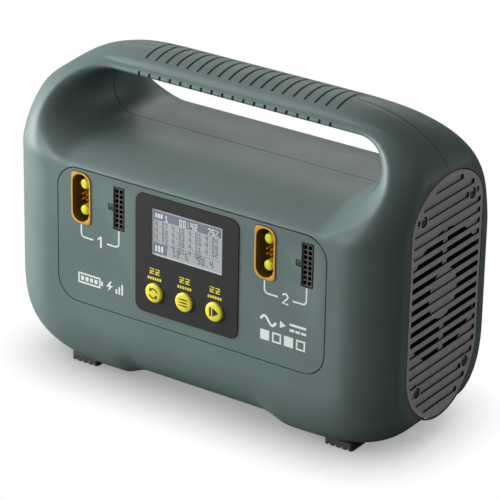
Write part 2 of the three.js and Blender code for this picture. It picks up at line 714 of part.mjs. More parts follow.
function caseScrewPlaces() {
  const { upperX, upperZ, lowerX, lowerZ } = CASE_SCREWS;
  return {
    upper_left: [-upperX, upperZ],
    upper_right: [upperX, upperZ],
    lower_left: [-lowerX, lowerZ],
    lower_right: [lowerX, lowerZ],
  };
}

const SCREW_SEAT_Y = 34;

function caseBosses(side) {
  const bosses = Object.values(caseScrewPlaces()).map((place) => {
    const reach = side < 0 ? [-60, -PARTING_GAP] : [PARTING_GAP, SCREW_SEAT_Y + 26];
    return rod('y', 5, ...reach, place, { segments: 10 });
  });
  return join(...bosses);
}

function caseScrewBores(side) {
  const bores = Object.values(caseScrewPlaces()).map((place) => {
    if (side < 0) {
      return rod('y', CASE_SCREW_SHANK + 0.2, -22, 1, place, { segments: 8 });
    }
    const shank = rod('y', CASE_SCREW_SHANK + 0.4, -1, SCREW_SEAT_Y + 1, place, { segments: 8 });
    const well = rod('y', CASE_SCREW_HEAD + 0.6, SCREW_SEAT_Y, 80, place, { segments: 12 });
    return shank.add(well);
  });
  return join(...bores);
}

function caseScrew(place) {
  const head = rod('y', CASE_SCREW_HEAD, SCREW_SEAT_Y + 0.05, SCREW_SEAT_Y + 2.4, place, { segments: 12 });
  const shank = rod('y', CASE_SCREW_SHANK - 0.1, -20, SCREW_SEAT_Y + 0.5, place, { segments: 6 });
  return head.add(shank).subtract(driveRecess('y', SCREW_SEAT_Y + 1.2, SCREW_SEAT_Y + 2.6, place));
}

const BOARD = { halfLength: 70, halfDepth: 44, z: 19, thickness: 1.6 };

function boardPosts(side) {
  const heights = [UNDERSIDE + 1, BOARD.z - 0.05];
  const posts = [-62, 62].map((x) => rod('z', 3, ...heights, [x, side * 26], { segments: 12 }));
  return join(...posts);
}

const INLET = { x: -58, z: 48, width: 28, height: 20.5, depth: 24, face: HALF_DEPTH + 2 };

function inletBlank(grow, from, to) {
  const { x, z, width, height } = INLET;
  const half = width / 2 + grow;
  const tall = height / 2 + grow;
  return plateXZ(roundedRectangle(x - half, x + half, z - tall, z + tall, 3 + grow), from, to);
}

function shell(side, gripBeds) {
  let body = caseHalf(side, 0, -0.5).subtract(caseHalf(side, WALL, -2, COARSE));
  const inner = wholeCase(1, COARSE);
  const ledges = join(rightLedge(), rightLedge().mirror([1, 0, 0])).intersect(inner);
  body = join(body, ledges, caseBosses(side).intersect(inner), boardPosts(side).intersect(inner));
  if (side < 0) {
    body = body.add(panelSeat().intersect(inner));
    body = body.subtract(frontPanelBlank(GAP / 2, FRONT - 5, FRONT + PANEL.thickness + 0.1));
    body = body.subtract(frontPanelBlank(-PANEL.ledge, FRONT - 5, FRONT + 8));
  } else {
    body = body.subtract(inletBlank(GAP / 2, 30, 80));
  }
  const opening = plateYZ(grilleShape(0), HALF_WIDTH - GRILLE.thickness - GAP, HALF_WIDTH + 5, 10);
  body = cut(body, opening, opening.mirror([1, 0, 0]), caseScrewBores(side));
  body = cut(body, gripBeds, footRecesses(side), fanBlank(GAP), fanBlank(GAP).mirror([1, 0, 0]));
  const depths = [PARTING_GAP / 2, HALF_DEPTH + 1];
  const keep = side < 0 ? depths.map((depth) => -depth).reverse() : depths;
  return body.intersect(box([-HALF_WIDTH, HALF_WIDTH], keep, [0, TOP + 1]));
}

// ---------------------------------------------------------------- feet
// A rubber block seated in a shallow recess of the underside, with grooves front to back.
function footBlank(x, side, grow, top) {
  const halfX = FOOT.width / 2 + grow;
  const halfY = FOOT.depth / 2 + grow;
  const outline = roundedRectangle(x - halfX, x + halfX, side * FOOT.y - halfY, side * FOOT.y + halfY, 2);
  const geometry = new THREE.ExtrudeGeometry(outline, { depth: top, bevelEnabled: false, curveSegments: 2 });
  return solid(geometry);
}

function footRecesses(side) {
  const recesses = [-FOOT.x, FOOT.x].map((x) => footBlank(x, side, GAP / 2, UNDERSIDE + FOOT.seat));
  return join(...recesses);
}

function foot(x, side) {
  let block = footBlank(x, side, 0, UNDERSIDE + FOOT.seat - 0.05);
  for (let count = 0; count < FOOT.grooves; count += 1) {
    const at = x + (count - (FOOT.grooves - 1) / 2) * FOOT.groovePitch;
    block = block.subtract(box([at - 0.7, at + 0.7], [-HALF_DEPTH, HALF_DEPTH], [-1, 1.2]));
  }
  return block;
}

// ---------------------------------------------------------------- electronics
function powerBoard() {
  const { halfLength, halfDepth, z, thickness } = BOARD;
  return box([-halfLength, halfLength], [-halfDepth, halfDepth], [z, z + thickness]);
}

const BOARD_TOP = BOARD.z + BOARD.thickness + 0.05;

function transformer() {
  const core = box([-22, 22], [-18, 18], [BOARD_TOP, BOARD_TOP + 40]);
  const windows = box([-13, 13], [-30, 30], [BOARD_TOP + 8, BOARD_TOP + 32]);
  const winding = roundedRectangle(-12.4, 12.4, BOARD_TOP + 8.4, BOARD_TOP + 31.6, 3);
  const limb = box([-14, 14], [-10, 10], [BOARD_TOP + 6, BOARD_TOP + 34]);
  return join(core.subtract(windows), plateXZ(winding, -23, 23), limb);
}

function heatsink(x) {
  let body = box([x - 9, x + 9], [-36, 36], [BOARD_TOP, BOARD_TOP + 55]);
  for (let count = 0; count < 4; count += 1) {
    const z = BOARD_TOP + 8 + count * 12;
    body = body.subtract(box([x - 9.5, x - 2], [-40, 40], [z, z + 8]));
    body = body.subtract(box([x + 2, x + 9.5], [-40, 40], [z, z + 8]));
  }
  return body;
}

function bulkCapacitor(x) {
  const can = rod('z', 10, BOARD_TOP, BOARD_TOP + 38, [x, -32], { segments: 16 });
  const rim = rod('z', 10, BOARD_TOP + 38, BOARD_TOP + 39, [x, -32], { segments: 16, endRadius: 9 });
  return can.add(rim);
}

function lineFilterChoke() {
  const ring = new THREE.TorusGeometry(9, 4, 8, 14);
  ring.rotateX(Math.PI / 2);
  ring.translate(33, 31, BOARD_TOP + 13);
  const base = box([24, 42], [28, 34], [BOARD_TOP, BOARD_TOP + 3]);
  return solid(ring).add(base);
}

// Flat cable from the power board up to the back of the control board.
function panelCable() {
  const thickness = 1.2;
  const start = -43;
  const rise = BOARD_TOP + 6;
  const end = BEZEL.low + 4;
  const board = BOARD_FRONT + 1.9;
  const shape = new THREE.Shape();
  shape.moveTo(start, BOARD_TOP);
  shape.lineTo(start + thickness, BOARD_TOP);
  shape.lineTo(start + thickness, rise);
  shape.quadraticCurveTo(start + thickness, rise + 8, board + thickness, end - 10);
  shape.lineTo(board + thickness, end);
  shape.lineTo(board, end);
  shape.lineTo(board, end - 11);
  shape.quadraticCurveTo(start, rise + 7, start, rise);
  return plateYZ(shape, -12, 12, 6);
}

const INLET_PINS = { neutral: [-6, -2], earth: [0, 2], line: [6, -2] };

function acInlet() {
  const { x, z, depth, face } = INLET;
  const cavity = roundedRectangle(x - 11, x + 11, z - 7, z + 7, [1, 1, 3.5, 3.5]);
  let inlet = inletBlank(0, face - depth, face).subtract(plateXZ(cavity, face - 16, face + 1));
  for (const [dx, dz] of Object.values(INLET_PINS)) {
    const bore = box([x + dx - 2.3, x + dx + 2.3], [face - depth - 1, face], [z + dz - 1.3, z + dz + 1.3]);
    inlet = inlet.subtract(bore);
  }
  return inlet;
}

function inletPin([dx, dz]) {
  const { face, depth } = INLET;
  const x = INLET.x + dx;
  const z = INLET.z + dz;
  return box([x - 2, x + 2], [face - depth - 4, face - 4], [z - 1, z + 1]);
}

// ---------------------------------------------------------------- materials and assembly
const COLOURS = {
  shell: [0x66766f, 0.55, 0],
  panel: [0x67766f, 0.5, 0],
  grip: [0x5c6c66, 0.75, 0],
  bezel: [0x3a3938, 0.45, 0],
  screen: [0x9fb0b4, 0.15, 0],
  display: [0x8a9a9c, 0.3, 0],
  yellow: [0xf0d020, 0.35, 0],
  gold: [0xd9a93a, 0.3, 0.6],
  contact: [0xf2d440, 0.25, 0.8],
  black: [0x18191a, 0.6, 0],
  grille: [0x4c4b49, 0.55, 0],
  steel: [0x8a8a88, 0.35, 1],
  rubber: [0x1c1d1d, 0.85, 0],
  board: [0x1f5c3a, 0.5, 0],
  aluminium: [0xb8bcc0, 0.35, 1],
  ferrite: [0x35322f, 0.7, 0],
  sleeve: [0x22304c, 0.35, 0],
  copper: [0xa3562c, 0.4, 0.8],
};

const charger = new THREE.Group();
charger.name = 'balance_battery_charger';

function addPiece(name, body, look) {
  const [color, roughness, metalness] = COLOURS[look];
  const material = new THREE.MeshStandardMaterial({ color, roughness, metalness });
  const mesh = new THREE.Mesh(geometryOf(body), material);
  mesh.name = name;
  charger.add(mesh);
  return mesh;
}

function addCase() {
  const grips = handleGrips(wholeCase(0));
  const zone = gripZone(GAP);
  const beds = zone.top.add(zone.bottom).subtract(wholeCase(GRIP.thickness + 0.25, COARSE));
  addPiece('front_shell', shell(-1, beds), 'shell');
  addPiece('rear_shell', shell(1, beds), 'shell');
  addPiece('handle_grip_top', grips.top, 'grip');
  addPiece('handle_grip_bottom', grips.bottom, 'grip');
  for (const [place, at] of Object.entries(caseScrewPlaces())) {
    addPiece(`case_screw_${place}`, caseScrew(at), 'steel');
  }
  for (const [end, side] of [['front', -1], ['rear', 1]]) {
    addPiece(`foot_${end}_left`, foot(-FOOT.x, side), 'rubber');
    addPiece(`foot_${end}_right`, foot(FOOT.x, side), 'rubber');
  }
}

function addFrontPanel() {
  addPiece('front_panel', frontPanel(), 'panel');
  addPiece('display_bezel', displayBezel(), 'bezel');
  addPiece('lcd_window', lcdWindow(), 'screen');
  addPiece('lcd_module', lcdModule(), 'display');
  addPiece('control_board', controlBoard(), 'board');
  for (const [use, x] of Object.entries(BUTTON_X)) {
    addPiece(`button_${use}`, buttonCap(x), 'yellow');
    addPiece(`switch_${use}`, tactSwitch(x), 'black');
  }
  for (const [channel, { powerX, balanceX }] of Object.entries(CHANNELS)) {
    addPiece(`power_socket_${channel}`, powerSocket(powerX), 'gold');
    addPiece(`power_contact_${channel}_lower`, powerContact(powerX, SOCKET_Z - CONTACT_OFFSET), 'contact');
    addPiece(`power_contact_${channel}_upper`, powerContact(powerX, SOCKET_Z + CONTACT_OFFSET), 'contact');
    addPiece(`signal_pins_${channel}`, signalPins(powerX), 'gold');
    addPiece(`balance_socket_${channel}`, balanceSocket(balanceX), 'black');
  }
}

function addEnds() {
  const grille = rightGrille();
  const frame = rightFanFrame();
  const rotor = rightFanRotor().translate([0, 0, FAN.z]);
  for (const side of ['right', 'left']) {
    const turned = (body) => (side === 'left' ? body.mirror([1, 0, 0]) : body);
    addPiece(`grille_${side}`, turned(grille), 'grille');
    addPiece(`fan_frame_${side}`, turned(frame), 'black');
    addPiece(`fan_rotor_${side}`, turned(rotor), 'black');
    const corners = ['lower_front', 'lower_rear', 'upper_front', 'upper_rear'];
    grilleScrewPlaces().forEach((place, index) => {
      addPiece(`grille_screw_${side}_${corners[index]}`, turned(rightGrilleScrew(place)), 'steel');
    });
  }
}

function addElectronics() {
  addPiece('power_board', powerBoard(), 'board');
  addPiece('transformer', transformer(), 'ferrite');
  addPiece('heatsink_left', heatsink(-46), 'aluminium');
  addPiece('heatsink_right', heatsink(56), 'aluminium');
  addPiece('bulk_capacitor_left', bulkCapacitor(-25), 'sleeve');
  addPiece('bulk_capacitor_right', bulkCapacitor(25), 'sleeve');
  addPiece('line_filter_choke', lineFilterChoke(), 'copper');
  addPiece('panel_cable', panelCable(), 'black');
  addPiece('ac_inlet', acInlet(), 'black');
  for (const [pin, place] of Object.entries(INLET_PINS)) {
    addPiece(`inlet_pin_${pin}`, inletPin(place), 'steel');
  }
}

addCase();
addFrontPanel();
addEnds();
addElectronics();

export default charger;
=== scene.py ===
"""Looks of the balance battery charger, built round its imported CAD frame.

Lengths are millimetres in the frame's axes: X along the handle, -Y out of the front panel, Z up.
Edges are (left, right, low, high) as seen from the front.
"""

import math

import bmesh
import bpy
import numpy as np
from mathutils import Matrix, Vector


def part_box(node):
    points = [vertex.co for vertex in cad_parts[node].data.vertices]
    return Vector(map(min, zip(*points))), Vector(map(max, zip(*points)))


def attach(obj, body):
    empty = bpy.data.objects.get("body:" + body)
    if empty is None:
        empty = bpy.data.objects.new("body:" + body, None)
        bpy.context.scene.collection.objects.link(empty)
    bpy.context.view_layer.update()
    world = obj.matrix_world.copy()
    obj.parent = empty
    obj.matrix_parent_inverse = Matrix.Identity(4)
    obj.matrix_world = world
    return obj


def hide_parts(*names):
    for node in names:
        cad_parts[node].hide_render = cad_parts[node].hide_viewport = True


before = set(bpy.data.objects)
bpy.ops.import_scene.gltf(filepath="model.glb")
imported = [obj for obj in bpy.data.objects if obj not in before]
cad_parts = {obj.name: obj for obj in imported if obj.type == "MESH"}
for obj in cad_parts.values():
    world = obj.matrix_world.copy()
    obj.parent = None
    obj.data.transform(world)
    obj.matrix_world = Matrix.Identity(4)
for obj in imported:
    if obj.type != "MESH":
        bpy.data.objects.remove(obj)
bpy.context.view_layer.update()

MM = 0.001
ENDS = (("right", 1), ("left", -1))
BUTTONS = ("cycle", "list", "start")
CHANNELS = ("1", "2")
CASE_SCREWS = ("upper_left", "upper_right", "lower_left", "lower_right")


def box_mm(node):
    low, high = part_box(node)
    return low / MM, high / MM


def middle(node):
    low, high = box_mm(node)
    return (low + high) / 2


def spot(node, axis="y"):
    """Centre of a node as seen along an axis."""
    place = middle(node)
    return (place.y if axis == "x" else place.x, place.z)


def edges_of(node, grow=0.0):
    low, high = box_mm(node)
    return grown((low.x, high.x, low.z, high.z), grow)


def grown(edges, by):
    left, right, low, high = edges
    return left - by, right + by, low - by, high + by


# ---------------------------------------------------------------- driving dimensions
GRILLE_LOW, GRILLE_HIGH = box_mm("grille_right")
HALF_WIDTH = GRILLE_HIGH.x
HALF_DEPTH = -box_mm("front_shell")[0].y
UNDERSIDE = box_mm("front_shell")[0].z
TOP = box_mm("handle_grip_top")[1].z
FRONT = -HALF_DEPTH

# Outline at the parting plane: two superellipse corners on each side, cut flat at the ends.
BULGE_HALF_WIDTH = 147.5
BELLY = -0.5
TOP_CORNER = {"width": 89.5, "height": 75, "power": 2.6}
BOTTOM_CORNER = {"width": 80, "height": 64.5, "power": 2.7}

# Raised step of the underside between the feet.
ARCH_RISE = 5.6
ARCH_RAMP = (44, 62)
ARCH_REACH = 46

# Hand opening and the flare round it, which is smaller towards the handle and the bottom.
HAND = {"half_length": 87.2, "radius": 16.8, "z": 171.8}
HAND_TOP = HAND["z"] + HAND["radius"]
FLARE = {"side": 21, "less_over": 14.15, "less_under": 9, "least": 3}
FLARE_POWER = 2.4
SIDE_FLARE_POWER_DROP = 0.5
UNDER_FLARE = 6.85

# Faces that lean in to the handle: full half depth, first and last height, and power.
FRONT_LEAN = (HALF_DEPTH, 144, 195.5, 1.15)
REAR_LEAN = (63.3, 127, 201, 1.44)
LEAN_SOFTNESS = 2.0
LEAN_EASE = 0.85
HANDLE_HALF_DEPTH = 19

# Band along the edge and the rounding beside it, blended over these heights.
HANDLE_EDGE, SIDE_EDGE, FOOT_EDGE = 15.5, 23.7, 30.5
ROUNDING = {"side": 43, "foot": 44, "less_on_legs": 26.5, "less_on_handle": 8.5}
ROUNDING_POWER = 1.2
HANDLE_CROWN = 3.2
LEGS = (132.5, 189.5)
HANDLE = (174.5, 202.5)
MID_HEIGHT = 95
SOFT_RIDGE = 2.0

WALL = 3.2
RIM_INSET = 0.7
SEAM = 0.25
SEAM_CHAMFER = 0.12
OUTER_ROWS, INNER_ROWS = 96, 30

PANEL_GAP = 0.5
PANEL_RECESS_GAP = PANEL_GAP - 0.15
PANEL_BACK, PANEL_SEAT = FRONT + 2.9, FRONT + 3.1
PANEL_THROUGH = (FRONT - 3, FRONT + 6)
PRINT_RAISED, PRINT_SUNK = 0.04, 0.05
RIBS = {"count": 19, "pitch": 7.64, "width": 1.7, "depth": 0.9, "half_length": 73.4}
FIRST_RIB = -(RIBS["count"] - 1) / 2 * RIBS["pitch"]
HOOK_DEPTH = 2.4
GRIP_THICKNESS = 1.8
GRIP_GAP = 0.06
SCREW_RADIUS = 3
HOLE_GAP = 0.2
# Cutters reach this far past what they cut.
FAR, CLEAR = 200, 4


# ---------------------------------------------------------------- materials
def srgb(red, green, blue):
    def linear(value):
        share = value / 255
        return share / 12.92 if share <= 0.04045 else ((share + 0.055) / 1.055) ** 2.4

    return (linear(red), linear(green), linear(blue), 1.0)


def shade(colour, factor):
    return tuple(min(channel * factor, 1) for channel in colour[:3]) + (1.0,)


def grey(value):
    return (value, value, value, 1)


class Nodes:
    """The node tree of a material or world, with short calls to add nodes and links."""

    def __init__(self, owner, shader="Principled BSDF"):
        owner.use_nodes = True
        self.owner, self.tree = owner, owner.node_tree
        self.shader = self.tree.nodes[shader]

    def plug(self, socket, value):
        if isinstance(value, bpy.types.NodeSocket):
            self.tree.links.new(value, socket)
        else:
            socket.default_value = value

    def set(self, node, **inputs):
        for label, value in inputs.items():
            wanted = label.replace("_", " ")
            self.plug(next(s for s in node.inputs if s.name.lower() == wanted), value)
        return node

    def add(self, kind, **inputs):
        return self.set(self.tree.nodes.new(kind), **inputs)

    def finish(self, **inputs):
        """Sets the shader's inputs and hands back the material or world."""
        self.set(self.shader, **inputs)
        return self.owner

    def noise(self, scale, detail=3.0):
        place = self.add("ShaderNodeTexCoord").outputs["Object"]
        return self.add("ShaderNodeTexNoise", vector=place, scale=scale, detail=detail).outputs["Fac"]

    def uneven(self, scale, low, high):
        """Noise spread over a range of values."""
        noise = self.noise(scale)
        return self.add("ShaderNodeMapRange", value=noise, to_min=low, to_max=high).outputs["Result"]

    def ramp(self, value, *stops):
        node = self.add("ShaderNodeValToRGB", fac=value)
        for element, (position, colour) in zip(node.color_ramp.elements, stops):
            element.position, element.color = position, colour
        return node.outputs["Color"]

    def mix(self, share, first, second, blend_type="MIX"):
        node = self.tree.nodes.new("ShaderNodeMix")
        node.data_type, node.blend_type = "RGBA", blend_type
        for index, value in ((0, share), (6, first), (7, second)):
            self.plug(node.inputs[index], value)
        return node.outputs[2]

    def bump(self, noise, height, strength=0.1):
        return self.add("ShaderNodeBump", strength=strength, distance=height * MM, height=noise)


def moulded(name, colour, roughness=0.5, metallic=0.0, specular=0.5, coat=0.0, grain=2200, height=0.05,
            rounding=0.0, wear=1.25):
    """Moulded, plated or painted surface: cloudy colour, fine grain, uneven sheen, worn edges."""
    nodes = Nodes(bpy.data.materials.new(name))
    cloud = nodes.ramp(nodes.noise(28), (0.3, shade(colour, 0.94)), (0.7, shade(colour, 1.05)))
    speckle = nodes.ramp(nodes.noise(grain, 1.0), (0.25, grey(0.93)), (0.75, grey(1.06)))
    mottled = nodes.mix(1.0, cloud, speckle, "MULTIPLY")
    edge = nodes.add("ShaderNodeNewGeometry").outputs["Pointiness"]
    worn = nodes.ramp(edge, (0.53, grey(0)), (0.6, grey(1)))
    half_worn = nodes.add("ShaderNodeMapRange", value=worn, to_min=0.0, to_max=0.5).outputs["Result"]
    bump = nodes.bump(nodes.noise(grain, 1.0), height, 0.35)
    if rounding:
        soft = nodes.add("ShaderNodeBevel", radius=rounding * MM)
        soft.samples = 4
        nodes.set(bump, normal=soft.outputs["Normal"])
    return nodes.finish(
        base_color=nodes.mix(half_worn, mottled, shade(colour, wear)),
        roughness=nodes.uneven(60, roughness - 0.06, roughness + 0.06),
        metallic=metallic, coat_weight=coat, specular_ior_level=specular, normal=bump.outputs["Normal"])


def clear_window():
    nodes = Nodes(bpy.data.materials.new("window_clear"))
    smudge = nodes.bump(nodes.noise(90), 0.02)
    return nodes.finish(base_color=(0.95, 0.98, 1.0, 1), roughness=nodes.uneven(40, 0.03, 0.09),
                        alpha=0.07, normal=smudge.outputs["Normal"])


def lcd_glow():
    """Backlit liquid crystal: a fine dot grid over a slightly uneven backlight."""
    nodes = Nodes(bpy.data.materials.new("lcd_glow"))
    light = nodes.ramp(nodes.noise(25), (0.3, srgb(172, 176, 179)), (0.7, srgb(186, 190, 192)))
    dots = nodes.bump(nodes.noise(3000, 1.0), 0.02)
    return nodes.finish(base_color=light, emission_color=light, emission_strength=0.05,
                        roughness=nodes.uneven(60, 0.3, 0.42), normal=dots.outputs["Normal"])


BODY_COLOUR = srgb(105, 124, 121)
CASE_FINISH = {"specular": 0.35, "grain": 1500, "height": 0.06}
PRINT_FINISH = {"grain": 2600, "height": 0.01, "wear": 1.02}
GOLD_FINISH = {"grain": 3000, "height": 0.01}
LOOKS = {
    "body": moulded("body_plastic", BODY_COLOUR, 0.5, **CASE_FINISH),
    "panel": moulded("panel_plastic", BODY_COLOUR, 0.48, **CASE_FINISH),
    "grip": moulded("grip_rubber", shade(BODY_COLOUR, 0.96), 0.6, grain=1800, height=0.08),
    "bezel": moulded("bezel_plastic", srgb(30, 29, 29), 0.6, grain=2400),
    "yellow": moulded("button_yellow", srgb(255, 240, 70), 0.38, grain=2600, height=0.02, wear=1.05),
    "icon": moulded("icon_dark", srgb(42, 40, 34), grain=2600, wear=1.1),
    "white": moulded("print_white", srgb(238, 244, 243), **PRINT_FINISH),
    "label": moulded("print_yellow", srgb(255, 240, 76), **PRINT_FINISH),
    "amber": moulded("socket_amber", srgb(226, 168, 62), 0.36, grain=2000, height=0.03, coat=0.3),
    # Darker copy of the socket's amber: painted shade inside the socket's cavity.
    "inside": moulded("socket_painted_shade", srgb(122, 92, 34), grain=2000, height=0.03),
    "contact": moulded("contact_gold", srgb(255, 250, 60), 0.36, **GOLD_FINISH),
    "pin": moulded("pin_gold", srgb(250, 165, 60), 0.3, metallic=0.2, **GOLD_FINISH),
    "black": moulded("black_nylon", srgb(24, 25, 26), rounding=0.15),
    "grid": moulded("header_grey", srgb(84, 84, 84), 0.55, grain=2600),
    "grille": moulded("grille_plastic", srgb(198, 196, 192), 0.55, grain=1700),
    # Near black: painted shade for the walls of slots and cells.
    "shadow": moulded("slot_painted_shade", srgb(18, 18, 18), 0.7, grain=1700),
    "steel": moulded("screw_zinc", srgb(128, 128, 136), 0.4, metallic=0.6, grain=2600, height=0.02),
    "rubber": moulded("foot_rubber", srgb(62, 64, 65), 0.8, grain=1500, height=0.08),
    "board": moulded("board_green", srgb(30, 84, 54), 0.35, grain=1800, rounding=0.2, coat=0.4),
    "ferrite": moulded("ferrite_dark", srgb(58, 54, 50), 0.6, grain=1200, height=0.1, rounding=0.4),
    "aluminium": moulded("aluminium_extruded", srgb(190, 192, 196), 0.36, metallic=1.0, grain=2000,
                         rounding=0.3),
    "sleeve": moulded("capacitor_sleeve", srgb(36, 52, 82), 0.34, grain=1800, rounding=0.4),
    "copper": moulded("copper_enamel", srgb(168, 86, 42), 0.36, metallic=0.8, grain=900, height=0.2),
    "fan": moulded("fan_black", srgb(40, 40, 41), 0.45, grain=1800, rounding=0.3),
    "ink": moulded("lcd_ink", srgb(98, 103, 116), 0.45, grain=2600, wear=1.05),
    "bar": moulded("lcd_bar", srgb(96, 106, 128), 0.45, grain=2600, wear=1.05),
    "window": clear_window(),
    "lcd": lcd_glow(),
}


# ---------------------------------------------------------------- mesh helpers
def make_object(name, vertices, faces):
    mesh = bpy.data.meshes.new(name)
    mesh.from_pydata([Vector(vertex) * MM for vertex in vertices], [], faces)
    edit = bmesh.new()
    edit.from_mesh(mesh)
    bmesh.ops.remove_doubles(edit, verts=edit.verts, dist=0.001 * MM)
    bmesh.ops.recalc_face_normals(edit, faces=edit.faces)
    edit.to_mesh(mesh)
    edit.free()
    obj = bpy.data.objects.new(name, mesh)
    bpy.context.scene.collection.objects.link(obj)
    return obj


def apply_modifiers(obj):
    depsgraph = bpy.context.evaluated_depsgraph_get()
    obj.data = bpy.data.meshes.new_from_object(obj.evaluated_get(depsgraph))
    obj.modifiers.clear()


def combine(obj, others, operation="DIFFERENCE"):
    """Cuts the others out of obj, or joins them to it, and removes them."""
    for other in others:
        modifier = obj.modifiers.new("combine", "BOOLEAN")
        modifier.object = other
        modifier.operation = operation
        modifier.solver = "MANIFOLD"
    apply_modifiers(obj)
    for other in others:
        bpy.data.objects.remove(other)
    return obj


def bevel(obj, width, segments=2, angle=35):
    modifier = obj.modifiers.new("bevel", "BEVEL")
    modifier.width = width * MM
    modifier.segments = segments
    modifier.limit_method = "ANGLE"
    modifier.angle_limit = math.radians(angle)
    apply_modifiers(obj)
    return obj


def finish_piece(obj, look, body="charger", stands_for=(), smooth=32):
    """Gives a piece its material, smooth shading, body and the CAD nodes it stands for."""
    obj.data.materials.clear()
    obj.data.materials.append(LOOKS[look])
    obj.data.shade_smooth()
    obj.data.set_sharp_from_angle(angle=math.radians(smooth))
    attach(obj, body)
    if stands_for:
        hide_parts(*stands_for)
    return obj


def paint_shade(obj, hidden, look="shadow"):
    """Gives the faces that hidden picks a darker material: painted shade for deep narrow walls and hollows.
    """
    obj.data.materials.append(LOOKS[look])
    for polygon in obj.data.polygons:
        polygon.material_index = int(hidden(polygon))


# Painted shade on the faces that lie behind the front face.
def paint_shade_behind(obj, face_place, look="shadow"):
    paint_shade(obj, lambda polygon: abs(polygon.center.y / MM - face_place) >= 0.4, look)


PLACE = {
    "x": lambda a, b, along: (along, a, b),
    "y": lambda a, b, along: (a, along, b),
    "z": lambda a, b, along: (a, b, along),
}


def prism(name, outline, axis, low, high):
    """Closed solid from an outline: axis x takes (y, z), y takes (x, z) and z takes (x, y)."""
    count = len(outline)
    place = PLACE[axis]
    vertices = [place(a, b, low) for a, b in outline] + [place(a, b, high) for a, b in outline]
    faces = [tuple(range(count)), tuple(range(count, 2 * count))]
    for index in range(count):
        after = (index + 1) % count
        faces.append((index, after, count + after, count + index))
    return make_object(name, vertices, faces)


def lathe(name, profile, axis, centre, segments=40):
    """Solid of revolution: profile holds (radius, along) pairs, closed on the axis at both ends."""
    place = PLACE[axis]
    vertices, rings = [], []
    for radius, along in profile:
        ring = []
        for step in range(1 if radius == 0 else segments):
            turn = 2 * math.pi * step / segments
            ring.append(len(vertices))
            across, up = radius * math.cos(turn), radius * math.sin(turn)
            vertices.append(place(centre[0] + across, centre[1] + up, along))
        rings.append(ring)
    faces = []
    for first, second in zip(rings, rings[1:]):
        for step in range(segments):
            after = (step + 1) % segments
            corners = [first[step % len(first)], first[after % len(first)]]
            corners += [second[after % len(second)], second[step % len(second)]]
            faces.append(tuple(dict.fromkeys(corners)))
    return make_object(name, vertices, faces)


def cylinder(name, radius, ends, axis, centre, segments):
    start, end = ends
    return lathe(name, [(0, start), (radius, start), (radius, end), (0, end)], axis, centre, segments)


def two_sheets(name, sheets, rows, columns):
    """Closed body between two sheets of rows by columns vertices."""
    total = rows * columns
    faces = []
    for i in range(rows - 1):
        for j in range(columns - 1):
            corner = i * columns + j
            quad = (corner, corner + 1, corner + columns + 1, corner + columns)
            faces += [quad, tuple(index + total for index in quad[::-1])]
    rim = list(range(columns)) + [i * columns + columns - 1 for i in range(1, rows)]
    rim += [(rows - 1) * columns + j for j in range(columns - 2, -1, -1)]
    rim += [i * columns for i in range(rows - 2, 0, -1)]
    for first, second in zip(rim, rim[1:] + rim[:1]):
        faces.append((first, second, second + total, first + total))
    return make_object(name, sheets[0] + sheets[1], faces)


def arc(centre, radius, start, end, steps=8):
    angles = np.radians(np.linspace(start, end, steps + 1))
    return [(centre[0] + radius * math.cos(t), centre[1] + radius * math.sin(t)) for t in angles]


def rounded_rectangle(left, right, low, high, radii, steps=8):
    """Radii at bottom left, bottom right, top right and top left, or one for all."""
    bl, br, tr, tl = radii if isinstance(radii, (list, tuple)) else [radii] * 4
    points = arc((left + bl, low + bl), bl, 180, 270, steps)
    points += arc((right - br, low + br), br, 270, 360, steps)
    points += arc((right - tr, high - tr), tr, 0, 90, steps)
    points += arc((left + tl, high - tl), tl, 90, 180, steps)
    return points


def box_outline(left, right, low, high):
    return [(left, low), (right, low), (right, high), (left, high)]


def block(name, edges, front, back):
    return prism(name, box_outline(*edges), "y", front, back)


def ribbon(points, width):
    """Outline of a line of even width through the points."""
    line = [Vector(point) for point in points]
    left, right = [], []
    for index, point in enumerate(line):
        before = line[max(index - 1, 0)]
        after = line[min(index + 1, len(line) - 1)]
        along = (after - before).normalized()
        aside = Vector((-along.y, along.x)) * width / 2
        left.append(tuple(point + aside))
        right.append(tuple(point - aside))
    return left + right[::-1]


def sorted_ends(side, inner, outer):
    """Two distances out from the middle, as places along the axis."""
    return sorted([side * inner, side * outer])


# ---------------------------------------------------------------- form of the case
def smooth_step(low, high, value):
    share = min(max((value - low) / (high - low), 0.0), 1.0)
    return share * share * (3 - 2 * share)


def blend(low, high, share):
    return low + (high - low) * share


def soft_excess(value, softness=0.5):
    """Value above zero, with a soft start."""
    return softness * float(np.logaddexp(0, value / softness))


def arch_at(x):
    return ARCH_RISE * (1 - smooth_step(*ARCH_RAMP, abs(x)))


def top_outline(x):
    """Height of the outline's top at a place along the handle."""
    along = max(abs(x) - (BULGE_HALF_WIDTH - TOP_CORNER["width"]), 0) / TOP_CORNER["width"]
    angle = math.acos(min(along ** (TOP_CORNER["power"] / 2), 1))
    return TOP - TOP_CORNER["height"] * (1 - math.sin(angle) ** (2 / TOP_CORNER["power"]))


def outline_points(steps=400):
    """Right half of the outline at the parting plane, from the top middle to the bottom middle."""

    def corner(size, share):
        angle = share * math.pi / 2
        along = size["width"] * math.cos(angle) ** (2 / size["power"])
        up = size["height"] * math.sin(angle) ** (2 / size["power"])
        return BULGE_HALF_WIDTH - size["width"] + along, up

    points = [(0, TOP)]
    for step in range(steps, -1, -1):
        x, up = corner(TOP_CORNER, step / steps)
        points.append((x, TOP - TOP_CORNER["height"] + up))
    for step in range(steps + 1):
        x, down = corner(BOTTOM_CORNER, step / steps)
        points.append((x, BELLY + BOTTOM_CORNER["height"] - down))
    points.append((0, BELLY))
    return np.array(points, float)


